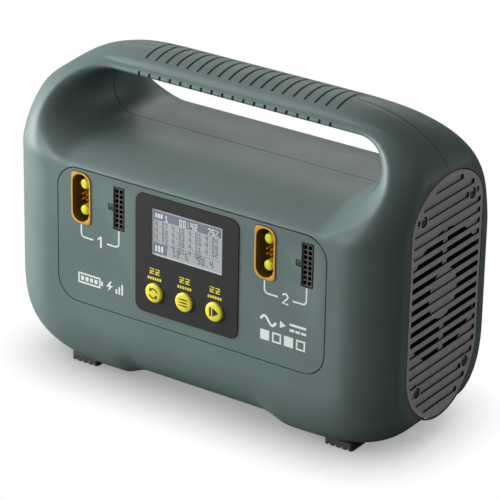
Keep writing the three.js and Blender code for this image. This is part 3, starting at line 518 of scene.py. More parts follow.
def spaced_outline(count):
    """Evenly spaced points on the right half of the outline, with their outward normals."""
    points = outline_points()
    lengths = np.concatenate([[0], np.cumsum(np.hypot(*np.diff(points, axis=0).T))])
    spaced = np.linspace(0, lengths[-1], count + 1)
    half = np.stack([np.interp(spaced, lengths, column) for column in points.T], 1)
    along = np.vstack([[1, 0], half[2:] - half[:-2], [-1, 0]])
    along /= np.linalg.norm(along, axis=1)[:, None]
    return half, np.stack([-along[:, 1], along[:, 0]], 1)


def face_depth(z, side):
    """Depth of the front (side -1) or rear face at a height: it leans in to the handle."""
    full, low, high, power = FRONT_LEAN if side < 0 else REAR_LEAN
    share = np.clip(LEAN_SOFTNESS * np.logaddexp(0, (z - low) / LEAN_SOFTNESS) / (high - low), 0, 1)
    return HANDLE_HALF_DEPTH + (full - HANDLE_HALF_DEPTH) * (1 - share**power) ** LEAN_EASE


def edge_sizes(point, normal):
    """Half depth of the edge band, width of the rounding and crown at a place on the outline."""
    side = normal[0] ** 2
    legs = smooth_step(*LEGS, point[1])
    handle = smooth_step(*HANDLE, point[1])
    crown = HANDLE_CROWN * smooth_step(HANDLE[0], TOP, point[1])
    if point[1] > MID_HEIGHT:
        less = ROUNDING["less_on_legs"] * legs + ROUNDING["less_on_handle"] * handle
        return blend(SIDE_EDGE, HANDLE_EDGE, handle), ROUNDING["side"] - less, crown
    width = blend(ROUNDING["foot"], ROUNDING["side"], side)
    return blend(FOOT_EDGE, SIDE_EDGE, side), width, crown


class Outline:
    """Dense right half of the outline, to find how far inside it a place is."""

    def __init__(self, count=1400):
        self.points, self.normals = spaced_outline(count)
        pairs = zip(self.points, self.normals)
        self.sizes = np.array([edge_sizes(point, normal) for point, normal in pairs])

    def nearest(self, places):
        """Distance inside the outline, then edge, rounding and crown at the nearest place on it."""
        away = places[:, None, :] - self.points[None, :, :]
        index = np.argmin((away**2).sum(2), axis=1)
        inside = -(away[np.arange(len(places)), index] * self.normals[index]).sum(1)
        return inside, self.sizes[index]


OUTLINE = Outline()


def quarter_turn(share):
    """Rises from 0 to 1 as a quarter of a circle does."""
    return np.sqrt(1 - (1 - np.clip(share, 0, 1)) ** 2)


def section(point, normal, side, inset, rows):
    """One loop in (x, depth, z), from the hand opening over the face to the outline, at even steps."""
    inner = np.array([np.clip(point[0], -HAND["half_length"], HAND["half_length"]), HAND["z"]])
    away = (point - inner) / np.linalg.norm(point - inner)
    under, over = max(-away[1], 0), max(away[1], 0)
    less = FLARE["less_over"] * over**1.5 + FLARE["less_under"] * under * under * (3 - 2 * under)
    flare = max(FLARE["side"] - less - inset, FLARE["least"])
    edge, _, crown = edge_sizes(point, normal)
    start = HAND["radius"] + inset
    end = np.linalg.norm(point - inner) - (inset + crown) / (away @ normal)
    outs = start + (end - start) * (1 - np.cos(np.linspace(0, math.pi, 321))) / 2
    places = inner + outs[:, None] * away
    inside, sizes = OUTLINE.nearest(places)
    rims, widths, crowns = sizes.T
    depth = face_depth(places[:, 1], side) - inset
    squareness = FLARE_POWER - SIDE_FLARE_POWER_DROP * away[0] ** 2
    flare_drop = depth * (1 - quarter_turn((outs - start) / flare) ** (2 / squareness))
    widths = np.maximum(widths - inset, 3) - crowns
    rims = rims - inset * RIM_INSET
    round_drop = (depth - rims) * (1 - quarter_turn((inside - inset - crowns) / widths) ** ROUNDING_POWER)
    height = depth - (flare_drop**SOFT_RIDGE + round_drop**SOFT_RIDGE) ** (1 / SOFT_RIDGE)
    height[0], height[-1] = 0, edge - inset * RIM_INSET
    lengths = np.concatenate([[0], np.cumsum(np.hypot(np.diff(outs), np.diff(height)))])
    even = np.linspace(0, lengths[-1], rows)
    outs, height = np.interp(even, lengths, outs), np.interp(even, lengths, height)
    places = inner + outs[:, None] * away
    loop = [[place[0], value, place[1]] for place, value in zip(places, height)]
    for share in (0.8, 0.6, 0.4, 0.2, 0.04):
        place = point - normal * (inset + crown * share * share)
        loop.append([place[0], edge * share, place[1]])
    return loop, away


def limited(x, depth, z, inset):
    """Flattens the rounded form at the two ends and at the underside, and raises the arch."""
    z += arch_at(x) * (1 - smooth_step(0, ARCH_REACH, z))
    end = HALF_WIDTH - 0.1 - inset
    x = math.copysign(end - soft_excess(end - abs(x)), x) if abs(x) > 1 else x
    low = UNDERSIDE + arch_at(x) + inset
    return x, depth, low + soft_excess(z - low)


def case_half(name, side, count=150):
    """Front (side -1) or rear half as one closed hollow wall, with a softened parting edge."""
    half, normals = spaced_outline(count)
    loops = []
    for point, normal in zip(half, normals):
        outer, away = section(point, normal, side, 0, OUTER_ROWS)
        inner = section(point, normal, side, WALL, INNER_ROWS)[0][::-1]
        first, last = outer[0], outer[-1]
        outer[0] = [first[0], SEAM + SEAM_CHAMFER, first[2]]
        outer.insert(0, [first[0] + away[0] * SEAM_CHAMFER, SEAM, first[2] + away[1] * SEAM_CHAMFER])
        outer.append([last[0] - normal[0] * SEAM_CHAMFER, SEAM, last[2] - normal[1] * SEAM_CHAMFER])
        loop = [limited(*row, 0) for row in outer] + [limited(*row, WALL) for row in inner]
        loops.append([(x, side * max(depth, SEAM), z) for x, depth, z in loop])
    loops += [[(-x, depth, z) for x, depth, z in loop] for loop in loops[-2:0:-1]]
    rows, faces = len(loops[0]), []
    for index in range(len(loops)):
        after = (index + 1) % len(loops)
        for row in range(rows):
            below = (row + 1) % rows
            first, second = index * rows, after * rows
            faces.append((first + row, second + row, second + below, first + below))
    return make_object(name, [vertex for loop in loops for vertex in loop], faces)


# ---------------------------------------------------------------- handle grips
def rib_centres():
    return [FIRST_RIB + number * RIBS["pitch"] for number in range(RIBS["count"])]


def rib_drop(x):
    """How far a groove lowers the surface at a place along the handle."""
    number = min(max(round((x - FIRST_RIB) / RIBS["pitch"]), 0), RIBS["count"] - 1)
    off = abs(x - FIRST_RIB - number * RIBS["pitch"]) / (RIBS["width"] / 2)
    return RIBS["depth"] * min(1.0, (1 - off) * 4) if off < 1 else 0.0


def rib_places():
    places = {-RIBS["half_length"], RIBS["half_length"]}
    for centre in rib_centres():
        for share in (-1, -0.75, 0, 0.75, 1):
            places.add(centre + share * RIBS["width"] / 2)
        places.add(centre + RIBS["pitch"] / 2)
    return sorted(place for place in places if abs(place) <= RIBS["half_length"])


def height_block(name, node, xs, rows, grow, upper, lower):
    """Closed block between two height functions, over a grip's depth."""
    half = box_mm(node)[1].y + grow
    ys = [float(y) for y in np.linspace(-half, half, rows)]
    sheets = [[(x, y, height(x, y)) for x in xs for y in ys] for height in (upper, lower)]
    return two_sheets(name, sheets, len(xs), len(ys))


def handle_top(x, y):
    return top_outline(x) - HANDLE_CROWN * (y / HANDLE_EDGE) ** 2


def handle_underside(y):
    """Height of the hand opening's upper wall, which curls up towards the face."""
    share = min(abs(y) / UNDER_DEPTH, 0.999) ** (FLARE_POWER / 2)
    return HAND_TOP + UNDER_FLARE * (1 - math.sqrt(1 - share * share))


UNDER_DEPTH = face_depth(HAND_TOP + 3, -1)


def build_grips():
    top = height_block("grip_top", "handle_grip_top", rib_places(), 25, 0,
                       lambda x, y: handle_top(x, y) - rib_drop(x),
                       lambda x, y: handle_top(x, y) - GRIP_THICKNESS)
    low = height_block("grip_bottom", "handle_grip_bottom", rib_places(), 21, 0,
                       lambda x, y: handle_underside(y) + GRIP_THICKNESS,
                       lambda x, y: handle_underside(y) + rib_drop(x))
    finish_piece(top, "grip", stands_for=["handle_grip_top"])
    finish_piece(low, "grip", stands_for=["handle_grip_bottom"])


def grip_cutters(side):
    """Cutters that clear the two grip zones out of the case, and the hooks that run on from them."""
    length = RIBS["half_length"] + GRIP_GAP
    xs = [float(x) for x in np.linspace(-length, length, 60)]
    depth = GRIP_THICKNESS + 0.1
    top = height_block("bed_top", "handle_grip_top", xs, 13, GRIP_GAP, lambda x, y: TOP + 4,
                       lambda x, y: handle_top(x, y) - depth)
    low = height_block("bed_low", "handle_grip_bottom", xs, 13, GRIP_GAP,
                       lambda x, y: handle_underside(y) + depth, lambda x, y: HAND["z"])
    return [top, low] + hook_cutters(side)


def hook_cutters(side):
    """Where the grooves of the lower grip run on over the lower edge of the handle's face."""
    turns = np.radians(np.linspace(40, 88, 10))
    line = np.stack([UNDER_DEPTH * np.sin(turns) ** (2 / FLARE_POWER), UNDER_FLARE * (1 - np.cos(turns))], 1)
    along = np.gradient(line, axis=0)
    outward = np.stack([along[:, 1], -along[:, 0]], 1) / np.hypot(*along.T)[:, None]
    band = np.vstack([line - outward * HOOK_DEPTH, (line + outward * 2)[::-1]])
    outline = [(side * y, HAND_TOP + z) for y, z in band]
    half = RIBS["width"] / 2
    return [prism("hook", outline, "x", x - half, x + half) for x in rib_centres()]


# ---------------------------------------------------------------- shells
def panel_outline(grow):
    return rounded_rectangle(*edges_of("front_panel", grow), 15 + grow, 14)


def grille_outline(grow, steps=26):
    """Straight sides with half-elliptical ends, in (y, z)."""
    half = GRILLE_HIGH.y + 0.3 + grow
    top_round, bottom_round = 29 + grow, 40 + grow
    high = GRILLE_HIGH.z + 0.3 + grow - top_round
    low = GRILLE_LOW.z - 0.3 - grow + bottom_round
    upper = np.linspace(0, math.pi, steps)
    points = [(half * math.cos(t), high + top_round * math.sin(t)) for t in upper]
    points += [(-half * math.cos(t), low - bottom_round * math.sin(t)) for t in upper]
    return points


def shell_cutters(side):
    cutters = []
    for end in (-1, 1):
        edges = sorted_ends(end, HALF_WIDTH - 3.4, HALF_WIDTH + CLEAR)
        cutters.append(prism("opening", grille_outline(HOLE_GAP), "x", *edges))
    for end in ("left", "right"):
        low, high = box_mm(("foot_front_" if side < 0 else "foot_rear_") + end)
        outline = rounded_rectangle(*grown((low.x, high.x, low.y, high.y), HOLE_GAP), 2.2, 4)
        cutters.append(prism("recess", outline, "z", -1, high.z))
    return cutters


def build_shells():
    front = case_half("shell_front", -1)
    recess = prism("recess", panel_outline(PANEL_RECESS_GAP), "y", FRONT - CLEAR, PANEL_SEAT)
    inside = prism("inside", panel_outline(-1.5), "y", FRONT - CLEAR, PANEL_SEAT + 5)
    combine(front, shell_cutters(-1) + [recess, inside] + grip_cutters(-1))
    finish_piece(front, "body", stands_for=["front_shell"])
    rear = case_half("shell_rear", 1)
    inlet = rounded_rectangle(*edges_of("ac_inlet", HOLE_GAP), 3.2, 5)
    cutters = [prism("inlet", inlet, "y", 40, 80)]
    for name in CASE_SCREWS:
        node = "case_screw_" + name
        cutters.append(cylinder("well", 4, (box_mm(node)[1].y, 80), "y", spot(node), 40))
    combine(rear, shell_cutters(1) + cutters + grip_cutters(1))
    finish_piece(rear, "body", stands_for=["rear_shell"])


def build_screw_sleeves():
    """Moulded tubes that line the deep screw wells of the rear half."""
    for name in CASE_SCREWS:
        node = "case_screw_" + name
        head_back = box_mm(node)[1].y
        seat, floor = head_back - 2.4, head_back - 3.4
        back = HALF_DEPTH - (4.5 if name.startswith("upper") else 9)
        profile = [(2, floor), (5, floor), (5, back), (4, back), (4, seat), (2, seat), (2, floor)]
        sleeve = lathe("screw_sleeve_" + name, profile, "y", spot(node), 28)
        finish_piece(sleeve, "body")


# ---------------------------------------------------------------- front panel
def socket_outline(node, grow, steps=6):
    radii = [6 + grow, 3 + grow, 6 + grow, 3 + grow]
    return rounded_rectangle(*edges_of(node, grow), radii, steps)


def header_edges(channel, grow=0.0):
    """Edges of a balance socket without its latch."""
    left, right, low, high = edges_of("balance_socket_" + channel)
    return grown((right - 8, right, low, high), grow)


def latch_edges(channel, grow=0.0):
    left, _, low, high = header_edges(channel)
    middle_z = (low + high) / 2
    return left - 3.8 - grow, left + 1, middle_z - 2 - grow, middle_z + 2 + grow


def build_panel():
    panel = prism("panel_front", panel_outline(-PANEL_RECESS_GAP), "y", FRONT, PANEL_BACK)
    bezel_hole = rounded_rectangle(*edges_of("display_bezel", -0.8), 6.2)
    cutters = [prism("hole", bezel_hole, "y", *PANEL_THROUGH)]
    for channel in CHANNELS:
        outline = socket_outline("power_socket_" + channel, 0.35)
        cutters.append(prism("hole", outline, "y", *PANEL_THROUGH))
        cutters.append(block("hole", header_edges(channel, HOLE_GAP), *PANEL_THROUGH))
        cutters.append(block("hole", latch_edges(channel, HOLE_GAP), *PANEL_THROUGH))
    combine(panel, cutters)
    bevel(panel, 0.2)
    finish_piece(panel, "panel", stands_for=["front_panel"], smooth=20)


def build_bezel():
    front = box_mm("display_bezel")[0].y
    outline = rounded_rectangle(*edges_of("display_bezel", -1), 6)
    bezel = prism("bezel", outline, "y", front, PANEL_BACK)
    cutters = [block("screen", edges_of("lcd_window", -SCREEN_INSET), FRONT - CLEAR, FRONT + 6)]
    ends = (FRONT - 25, FRONT + 15)
    for use in BUTTONS:
        cutters.append(cylinder("hole", CAP_HOLE_RADIUS, ends, "y", spot("button_" + use), 48))
    combine(bezel, cutters)
    bevel(bezel, 0.2)
    finish_piece(bezel, "bezel", stands_for=["display_bezel"], smooth=20)


SCREEN_INSET = 1.3
CAP_HOLE_RADIUS = 6.45
# Radius and distance behind the front, from the middle of a cap to the collar behind the bezel.
CAP_PROFILE = ((0, 0), (4.6, 0), (5.6, 0.2), (6.05, 0.6), (6.15, 1.1), (6.15, 3.6), (7.4, 3.6))


def build_buttons():
    for use in BUTTONS:
        node = "button_" + use
        low, high = box_mm(node)
        front = low.y + PRINT_RAISED
        profile = [(radius, front + behind) for radius, behind in CAP_PROFILE]
        profile += [(7.4, high.y - 1), (2, high.y - 1), (2, high.y), (0, high.y)]
        cap = lathe("cap_" + use, profile, "y", spot(node), 56)
        finish_piece(cap, "yellow", node, [node])
        for number, outline in enumerate(ICONS[use](*spot(node))):
            mark = prism(f"icon_{use}_{number}", outline, "y", low.y, front + 0.1)
            finish_piece(mark, "icon", node)


def cycle_icon(x, z):
    """Two arrows chasing each other round a circle."""
    shapes = []
    for turn in (0, 180):
        shapes.append(ribbon(arc((x, z), 3.0, turn + 20, turn + 130, 12), 0.85))
        corners = ((3.05, turn + 162), (1.7, turn + 126), (4.3, turn + 126))
        shapes.append([arc((x, z), radius, angle, angle, 0)[0] for radius, angle in corners])
    return shapes


def list_icon(x, z):
    """Three lines, each with a dot in front."""
    shapes = []
    for row in (z - 2, z, z + 2):
        shapes.append(box_outline(x - 1.9, x + 3.1, row - 0.42, row + 0.42))
        shapes.append(box_outline(x - 3.2, x - 2.4, row - 0.42, row + 0.42))
    return shapes


def start_icon(x, z):
    """A bar and a triangle."""
    bar = box_outline(x - 2.9, x - 1.5, z - 2.9, z + 2.9)
    return [bar, [(x - 0.7, z - 2.9), (x + 3.9, z), (x - 0.7, z + 2.9)]]


ICONS = {"cycle": cycle_icon, "list": list_icon, "start": start_icon}


def build_display():
    bezel_front = box_mm("display_bezel")[0].y
    window = block("window", edges_of("lcd_window", -1.4), bezel_front + 0.35, bezel_front + 0.75)
    bevel(window, 0.1)
    finish_piece(window, "window", stands_for=["lcd_window"])
    front = bezel_front + 0.9
    module = block("lcd", edges_of("lcd_window", -0.2), front, box_mm("lcd_module")[1].y)
    finish_piece(module, "lcd", stands_for=["lcd_module"])
    build_readout(*edges_of("lcd_window", -SCREEN_INSET), front)


DIGITS = {
    "0": ("###", "#.#", "#.#", "#.#", "###"), "1": (".#.", "##.", ".#.", ".#.", "###"),
    "2": ("###", "..#", "###", "#..", "###"), "3": ("###", "..#", ".##", "..#", "###"),
    "4": ("#.#", "#.#", "###", "..#", "..#"), "5": ("###", "#..", "###", "..#", "###"),
    "6": ("###", "#..", "###", "#.#", "###"), "7": ("###", "..#", "..#", ".#.", ".#."),
    "8": ("###", "#.#", "###", "#.#", "###"), "9": ("###", "#.#", "###", "..#", "###"),
    ".": ("...", "...", "...", "...", ".#."), ":": ("...", ".#.", "...", ".#.", "..."),
    "%": ("#.#", "..#", ".#.", "#..", "#.#"), " ": ("...", "...", "...", "...", "..."),
}


def join_boxes(name, boxes, front, back):
    """One mesh of many small blocks, given as (left, right, low, high)."""
    vertices, faces = [], []
    for left, right, low, high in boxes:
        start = len(vertices)
        vertices += [(x, y, z) for y in (front, back) for x, z in box_outline(left, right, low, high)]
        quads = [(0, 1, 2, 3), (4, 5, 6, 7), (0, 1, 5, 4), (1, 2, 6, 5), (2, 3, 7, 6), (3, 0, 4, 7)]
        faces += [tuple(start + corner for corner in quad) for quad in quads]
    return make_object(name, vertices, faces)


def written(text, left, high, size):
    """Blocks that write digits, five cells tall, from the top left corner."""
    cell = size / 5
    blocks = []
    for place, sign in enumerate(text):
        for row, cells in enumerate(DIGITS[sign]):
            for column, filled in enumerate(cells):
                if filled == "#":
                    x = left + (place * 4 + column) * cell * 0.8
                    z = high - (row + 1) * cell
                    blocks.append((x, x + cell * 0.74, z + cell * 0.06, z + cell * 0.98))
    return blocks


def build_readout(left, right, low, high, front):
    """White border, dark title bar, rows of cell voltages and a bottom row, all as printed blocks."""
    width, height = right - left, high - low
    rim, size, row_gap = 0.55, height * 0.125, 0.55
    border = [(left, right, low, low + rim), (left, right, high - rim, high),
              (left, left + rim, low + rim, high - rim), (right - rim, right, low + rim, high - rim)]
    left, right = left + rim + 0.9, right - rim - 0.9
    title_high = high - rim - 0.7
    title_low = title_high - height * 0.19
    foot_low = low + rim + 0.9
    foot_high = foot_low + height * 0.21
    bars = [(left, right, title_low, title_high), (left, left + width * 0.19, foot_low, foot_high),
            (left, right, foot_high + 0.25, foot_high + 0.55)]
    ink = []
    for number in range(15):
        row, column = divmod(number, 4)
        text = "4.%02d" % ((7 + 5 * row + 3 * column) % 12)
        top = title_low - 0.9 - row * (size + row_gap)
        ink += written(text, left + 1.2 + column * width * 0.235, top, size)
    for text, share in (("12.5", 0.27), ("50.4", 0.62)):
        ink += written(text, left + width * share, foot_high - 0.8, size * 1.25)
    pale = []
    for text, share in (("1", 0.16), ("00:42", 0.36), ("75%", 0.76)):
        pale += written(text, left + width * share, title_high - 1.2, size * 1.15)
    for step in range(3):
        x = left + 1.0 + step * 2.0
        pale.append((x, x + 1.4, title_high - 4.2, title_high - 1.4))
        x = left + 1.2 + step * 2.2
        pale.append((x, x + 1.4, low + 2.6, foot_high - 1.2))
    layers = (("border", "white", border, 0.1), ("bars", "bar", bars, 0.05), ("ink", "ink", ink, 0.04),
              ("pale", "white", pale, 0.07))
    for name, look, boxes, raised in layers:
        finish_piece(join_boxes("lcd_" + name, boxes, front - raised, front + 0.02), look)


def build_labels():
    """Two generic signs and a row of dashes over each button, in the print's yellow."""
    front = box_mm("display_bezel")[0].y
    boxes = []
    for use in BUTTONS:
        centre_x, centre_z = spot("button_" + use)
        for x in (centre_x - 2.1, centre_x + 2.1):
            z = centre_z + 13.9
            boxes += [(x - 1.7, x + 1.7, z + level, z + level + 0.5) for level in (-1.9, -0.3, 1.3)]
            boxes += [(x - 1.2, x - 0.7, z - 1.4, z - 0.3), (x + 0.7, x + 1.2, z + 0.2, z + 1.3)]
            boxes.append((x - 0.25, x + 0.25, z - 1.4, z - 0.3))
        for step in range(-3, 3):
            x, z = centre_x + step * 1.75 + 0.2, centre_z + 9.2
            boxes.append((x, x + 1.15, z - 0.9, z + 0.9))
    labels = join_boxes("button_labels", boxes, front - 0.05, front + 0.05)
    finish_piece(labels, "label")


def print_mark(name, outline, hollow=None):
    """White print on the front panel."""
    mark = prism(name, outline, "y", FRONT - PRINT_RAISED, FRONT + PRINT_SUNK)
    if hollow:
        combine(mark, [prism("hollow", hollow, "y", FRONT - 1, FRONT + 1)])
    finish_piece(mark, "white")


DIGIT_ONE = [(-1.9, 1.9), (0.2, 3.7), (1.3, 3.7), (1.3, -3.7), (0.0, -3.7), (0.0, 1.9), (-1.9, 0.75)]
DIGIT_TWO = ribbon(arc((0, 1.45), 1.75, 165, -35, 10) + [(-1.9, -3.1), (2.3, -3.1)], 1.15)


def build_channel_print():
    """Lines that tie each power socket to its balance socket, with the channel's number."""
    bend, digit_gap, width = 2.6, 5.2, 1.05
    for channel, digit in zip(CHANNELS, (DIGIT_ONE, DIGIT_TWO)):
        start_x, power_z = spot("power_socket_" + channel)
        left, right, header_low, _ = header_edges(channel)
        end_x = (left + right) / 2
        level = power_z - 25.2
        centre = (start_x + end_x) / 2
        first = [(start_x, edges_of("power_socket_" + channel)[2] - 0.6)]
        first += arc((start_x + bend, level + bend), bend, 180, 270, 8) + [(centre - digit_gap, level)]
        second = [(centre + digit_gap, level)] + arc((end_x - bend, level + bend), bend, -90, 0, 8)
        second.append((end_x, header_low - 0.5))
        shapes = [ribbon(first, width), ribbon(second, width), [(centre + x, level + z) for x, z in digit]]
        for number, outline in enumerate(shapes):
            print_mark(f"print_{channel}_{number}", outline)


def build_generic_marks():
    """Plain pictograms where the panel has room for print: a battery, a bolt, bars and supply signs."""
    left, low, high = -82.0, 67.6, 74.6
    battery = (left, left + 17, low, high)
    shapes = [(box_outline(*battery), box_outline(*grown(battery, -1.1))),
              (box_outline(left + 17.4, left + 18.8, low + 2, high - 2), None)]
    for cell in range(4):
        x = left + 2.1 + cell * 3.4
        shapes.append((box_outline(x, x + 2.4, low + 2.1, high - 2.1), None))
    bolt = [(24.4, 7), (21.4, 2.9), (23.6, 2.9), (22.6, 0), (26.4, 4.2), (24.1, 4.2), (25.6, 7)]
    shapes.append(([(left + x, low + z) for x, z in bolt], None))
    for bar in range(3):
        x = left + 28.4 + bar * 2.2
        shapes.append((box_outline(x, x + 1.3, low, low + 3 + 2 * bar), None))
    left = 52.5
    wave = [(left + 11 * t, 81.4 + 2.6 * math.sin(2 * math.pi * t)) for t in np.linspace(0, 1, 25)]
    shapes.append((ribbon(wave, 1.6), None))
    shapes.append(([(66.2, 79.0), (66.2, 83.8), (70.4, 81.4)], None))
    shapes.append((box_outline(73, 84.5, 82.4, 84), None))
    for dash in range(3):
        x = 73 + dash * 4.1
        shapes.append((box_outline(x, x + 3.3, 78.8, 80.4), None))
    for cell in range(4):
        edges = (left + cell * 8.4, left + cell * 8.4 + 6.4, 68.4, 75)
        shapes.append((box_outline(*edges), box_outline(*grown(edges, -1.1)) if cell % 2 else None))
    for number, (outline, hollow) in enumerate(shapes):
        print_mark(f"panel_mark_{number}", outline, hollow)


# Radius and distance behind the tip of a power contact.
BULLET_PROFILE = ((0, 0), (1.6, 0.08), (2.6, 0.4), (3.1, 0.9), (3.25, 1.6))
SIGNAL_PINS = ((-0.8, -1.7), (2.2, -1.7), (-0.8, 1.7), (2.2, 1.7))


def build_power_sockets():
    rim = 1.1
    for channel in CHANNELS:
        node = "power_socket_" + channel
        low, high = box_mm(node)
        contacts = [f"power_contact_{channel}_{end}" for end in ("lower", "upper")]
        shell = prism(node + "_housing", socket_outline(node, 0), "y", low.y, high.y)
        stadium = rounded_rectangle(*edges_of(node, -rim), (high.x - low.x) / 2 - rim - 0.05, 10)
        cutters = [prism("cavity", stadium, "y", low.y - 1, low.y + 13)]
        for contact in contacts:
            cutters.append(cylinder("hole", 3.45, (low.y + 12, high.y + 1), "y", spot(contact), 32))
        combine(shell, cutters)
        bevel(shell, 0.35, 3)
        finish_piece(shell, "amber", stands_for=[node])
        # Painted shade: faces behind the rim get the darker amber copy.
        paint_shade_behind(shell, low.y + 0.3, "inside")
        for contact in contacts:
            tip, back = box_mm(contact)
            profile = [(radius, tip.y + behind) for radius, behind in BULLET_PROFILE]
            profile += [(3.25, back.y), (0, back.y)]
            bullet = lathe(contact + "_bullet", profile, "y", spot(contact), 36)
            finish_piece(bullet, "contact", stands_for=[contact])
        build_signal_pins(channel)


def build_signal_pins(channel):
    node = "signal_pins_" + channel
    low, high = box_mm(node)
    x, z = spot("power_socket_" + channel)
    carrier_front = high.y - 6.5
    carrier = block(node + "_carrier", edges_of(node), carrier_front, high.y)
    bevel(carrier, 0.3)
    finish_piece(carrier, "amber", stands_for=[node])
    root = carrier_front + 0.5
    profile = [(0, low.y), (0.35, low.y + 0.1), (0.55, low.y + 0.5), (0.55, root), (0, root)]
    for number, (across, up) in enumerate(SIGNAL_PINS):
        pin = lathe(f"{node}_{number}", profile, "y", (x + across, z + up), 16)
        finish_piece(pin, "pin")


def build_balance_sockets():
    """Keyed housings with two columns of eight square cells."""
    for channel in CHANNELS:
        node = "balance_socket_" + channel
        front, back = (corner.y for corner in box_mm(node))
        edges = header_edges(channel)
        left, right, low, high = edges
        housing = block(node + "_housing", edges, front, back)
        combine(housing, [block("latch", latch_edges(channel), front + 0.3, back)], "UNION")
        combine(housing, [block("hollow", grown(edges, -0.75), front - 1, front + 8)])
        bevel(housing, 0.18)
        finish_piece(housing, "black", stands_for=[node])
        grid = block(node + "_grid", grown(edges, -0.78), front + 0.5, front + 7.9)
        pitch = (high - low - 2.2) / 8
        cells = []
        for row in range(8):
            z = (low + high) / 2 + (row - 3.5) * pitch
            for x in ((left + right) / 2 - 1.55, (left + right) / 2 + 1.55):
                cells.append(block("cell", (x - 1.15, x + 1.15, z - 1.2, z + 1.2), front - 1, front + 7))
        combine(grid, cells)
        finish_piece(grid, "grid")
        # Painted shade: faces deep in the cells get the near-black material.
        paint_shade_behind(grid, front + 0.55)


# ---------------------------------------------------------------- ends
SLOT = {"count": 21, "pitch": 6.92, "height": 3.4, "depth": 1.3, "margin": 2.8, "rounding": 0.9}
FAN_Z = middle("fan_frame_right").z
GUARD_RADIUS = 41
HUB_RADIUS = 15.5
STRUT = (-2.4, 2.4, FAN_Z - 50, FAN_Z + 50)


def grille_screws(end):
    return [f"grille_screw_{end}_{level}_{row}" for level in ("lower", "upper") for row in ("front", "rear")]


def slot_reach(z):
    """Half length of the slot at a height, kept inside the plate's edge."""
    inside = grille_outline(-SLOT["margin"], 60)
    best = 0
    for (y0, z0), (y1, z1) in zip(inside, inside[1:] + inside[:1]):
        for level in (z - SLOT["height"] / 2, z + SLOT["height"] / 2):
            if min(z0, z1) <= level <= max(z0, z1) and z0 != z1:
                y = y0 + (y1 - y0) * (level - z0) / (z1 - z0)
                best = min(best, abs(y)) if best else abs(y)
    return best


def build_grille(end, side):
    """Plate with slots: open over the fan, blind elsewhere, and left out round the screws."""
    face, back = HALF_WIDTH - 0.15, HALF_WIDTH - 3
    plate = prism("grille_plate_" + end, grille_outline(-0.45), "x", *sorted_ends(side, back, face))
    blind, through = [], []
    for row in range(SLOT["count"]):
        z = FAN_Z + (row - (SLOT["count"] - 1) / 2) * SLOT["pitch"]
        reach = slot_reach(z)
        if reach > 4:
            half = SLOT["height"] / 2
            outline = rounded_rectangle(-reach, reach, z - half, z + half, SLOT["rounding"], 4)
            for group, start in ((blind, face - SLOT["depth"]), (through, back - 2)):
                group.append(prism("slot", outline, "x", *sorted_ends(side, start, face + 2)))
    slots = combine(through[0], through[1:], "UNION")
    ring = cylinder("guard", GUARD_RADIUS, (-FAR, FAR), "x", (0, FAN_Z), 64)
    hub = cylinder("hub", HUB_RADIUS, (-FAR - 1, FAR + 1), "x", (0, FAN_Z), 48)
    strut = prism("strut", box_outline(*STRUT), "x", -FAR - 1, FAR + 1)
    combine(slots, [combine(ring, [hub, strut])], "INTERSECT")
    slots = combine(blind[0], blind[1:] + [slots], "UNION")
    screws = [spot(node, "x") for node in grille_screws(end)]
    combine(slots, [cylinder("ring", 4.7, (-FAR, FAR), "x", place, 28) for place in screws])
    ends = (side * (face - 1.7), side * (face + 1))
    wells = [cylinder("well", SCREW_RADIUS + 0.45, ends, "x", place, 32) for place in screws]
    combine(plate, [slots] + wells)
    finish_piece(plate, "grille", stands_for=["grille_" + end])
    # Painted shade: the slot walls, but not the plate's outer edge, get the near-black material.
    paint_shade(plate, lambda polygon: abs(polygon.normal.x) < 0.5 and not on_rim(polygon.center))
    build_lip(end, side)


def on_rim(centre):
    """Whether a place is on the plate's outer edge."""
    y, z = centre.y / MM, centre.z / MM
    half = GRILLE_HIGH.y - 0.6
    high, low = GRILLE_HIGH.z - 29, GRILLE_LOW.z + 40
    if z > high and abs(y) <= half:
        return math.hypot(y / half, (z - high) / 28.4) > 0.985
    if z < low and abs(y) <= half:
        return math.hypot(y / half, (low - z) / 39.4) > 0.985
    return abs(y) > half


def build_lip(end, side):
    """Narrow raised lip of the case round the grille."""
    ends = sorted_ends(side, HALF_WIDTH - 1.5, HALF_WIDTH - 0.02)
    lip = prism("grille_lip_" + end, grille_outline(1.1, 40), "x", *ends)
    combine(lip, [prism("opening", grille_outline(HOLE_GAP, 40), "x", -FAR, FAR)])
    bevel(lip, 0.3, 2)
    finish_piece(lip, "body")


def screw_head(node, axis, face, out, radius):
    """Countersunk pan head with a cross recess; out is the way the head faces, +1 or -1."""
    place = spot(node, axis)
    base = face - out * 1.4
    profile = [(0, face), (radius - 0.9, face - out * 0.05), (radius - 0.3, face - out * 0.35),
               (radius, base), (1.3, base), (1.3, base - out * 9), (0, base - out * 9.6)]
    head = lathe(node + "_head", profile, axis, place, 32)
    arms = []
    for long, wide in ((1.75, 0.42), (0.42, 1.75)):
        outline = box_outline(place[0] - long, place[0] + long, place[1] - wide, place[1] + wide)
        arms.append(prism("arm", outline, axis, *sorted([face - out, face + out])))
    combine(head, arms)
    finish_piece(head, "steel", stands_for=[node])


def build_screws():
    for end, side in ENDS:
        for node in grille_screws(end):
            screw_head(node, "x", side * (HALF_WIDTH - 0.35), side, SCREW_RADIUS)
    for name in CASE_SCREWS:
        node = "case_screw_" + name
        screw_head(node, "y", box_mm(node)[1].y - 0.1, 1, 3.3)


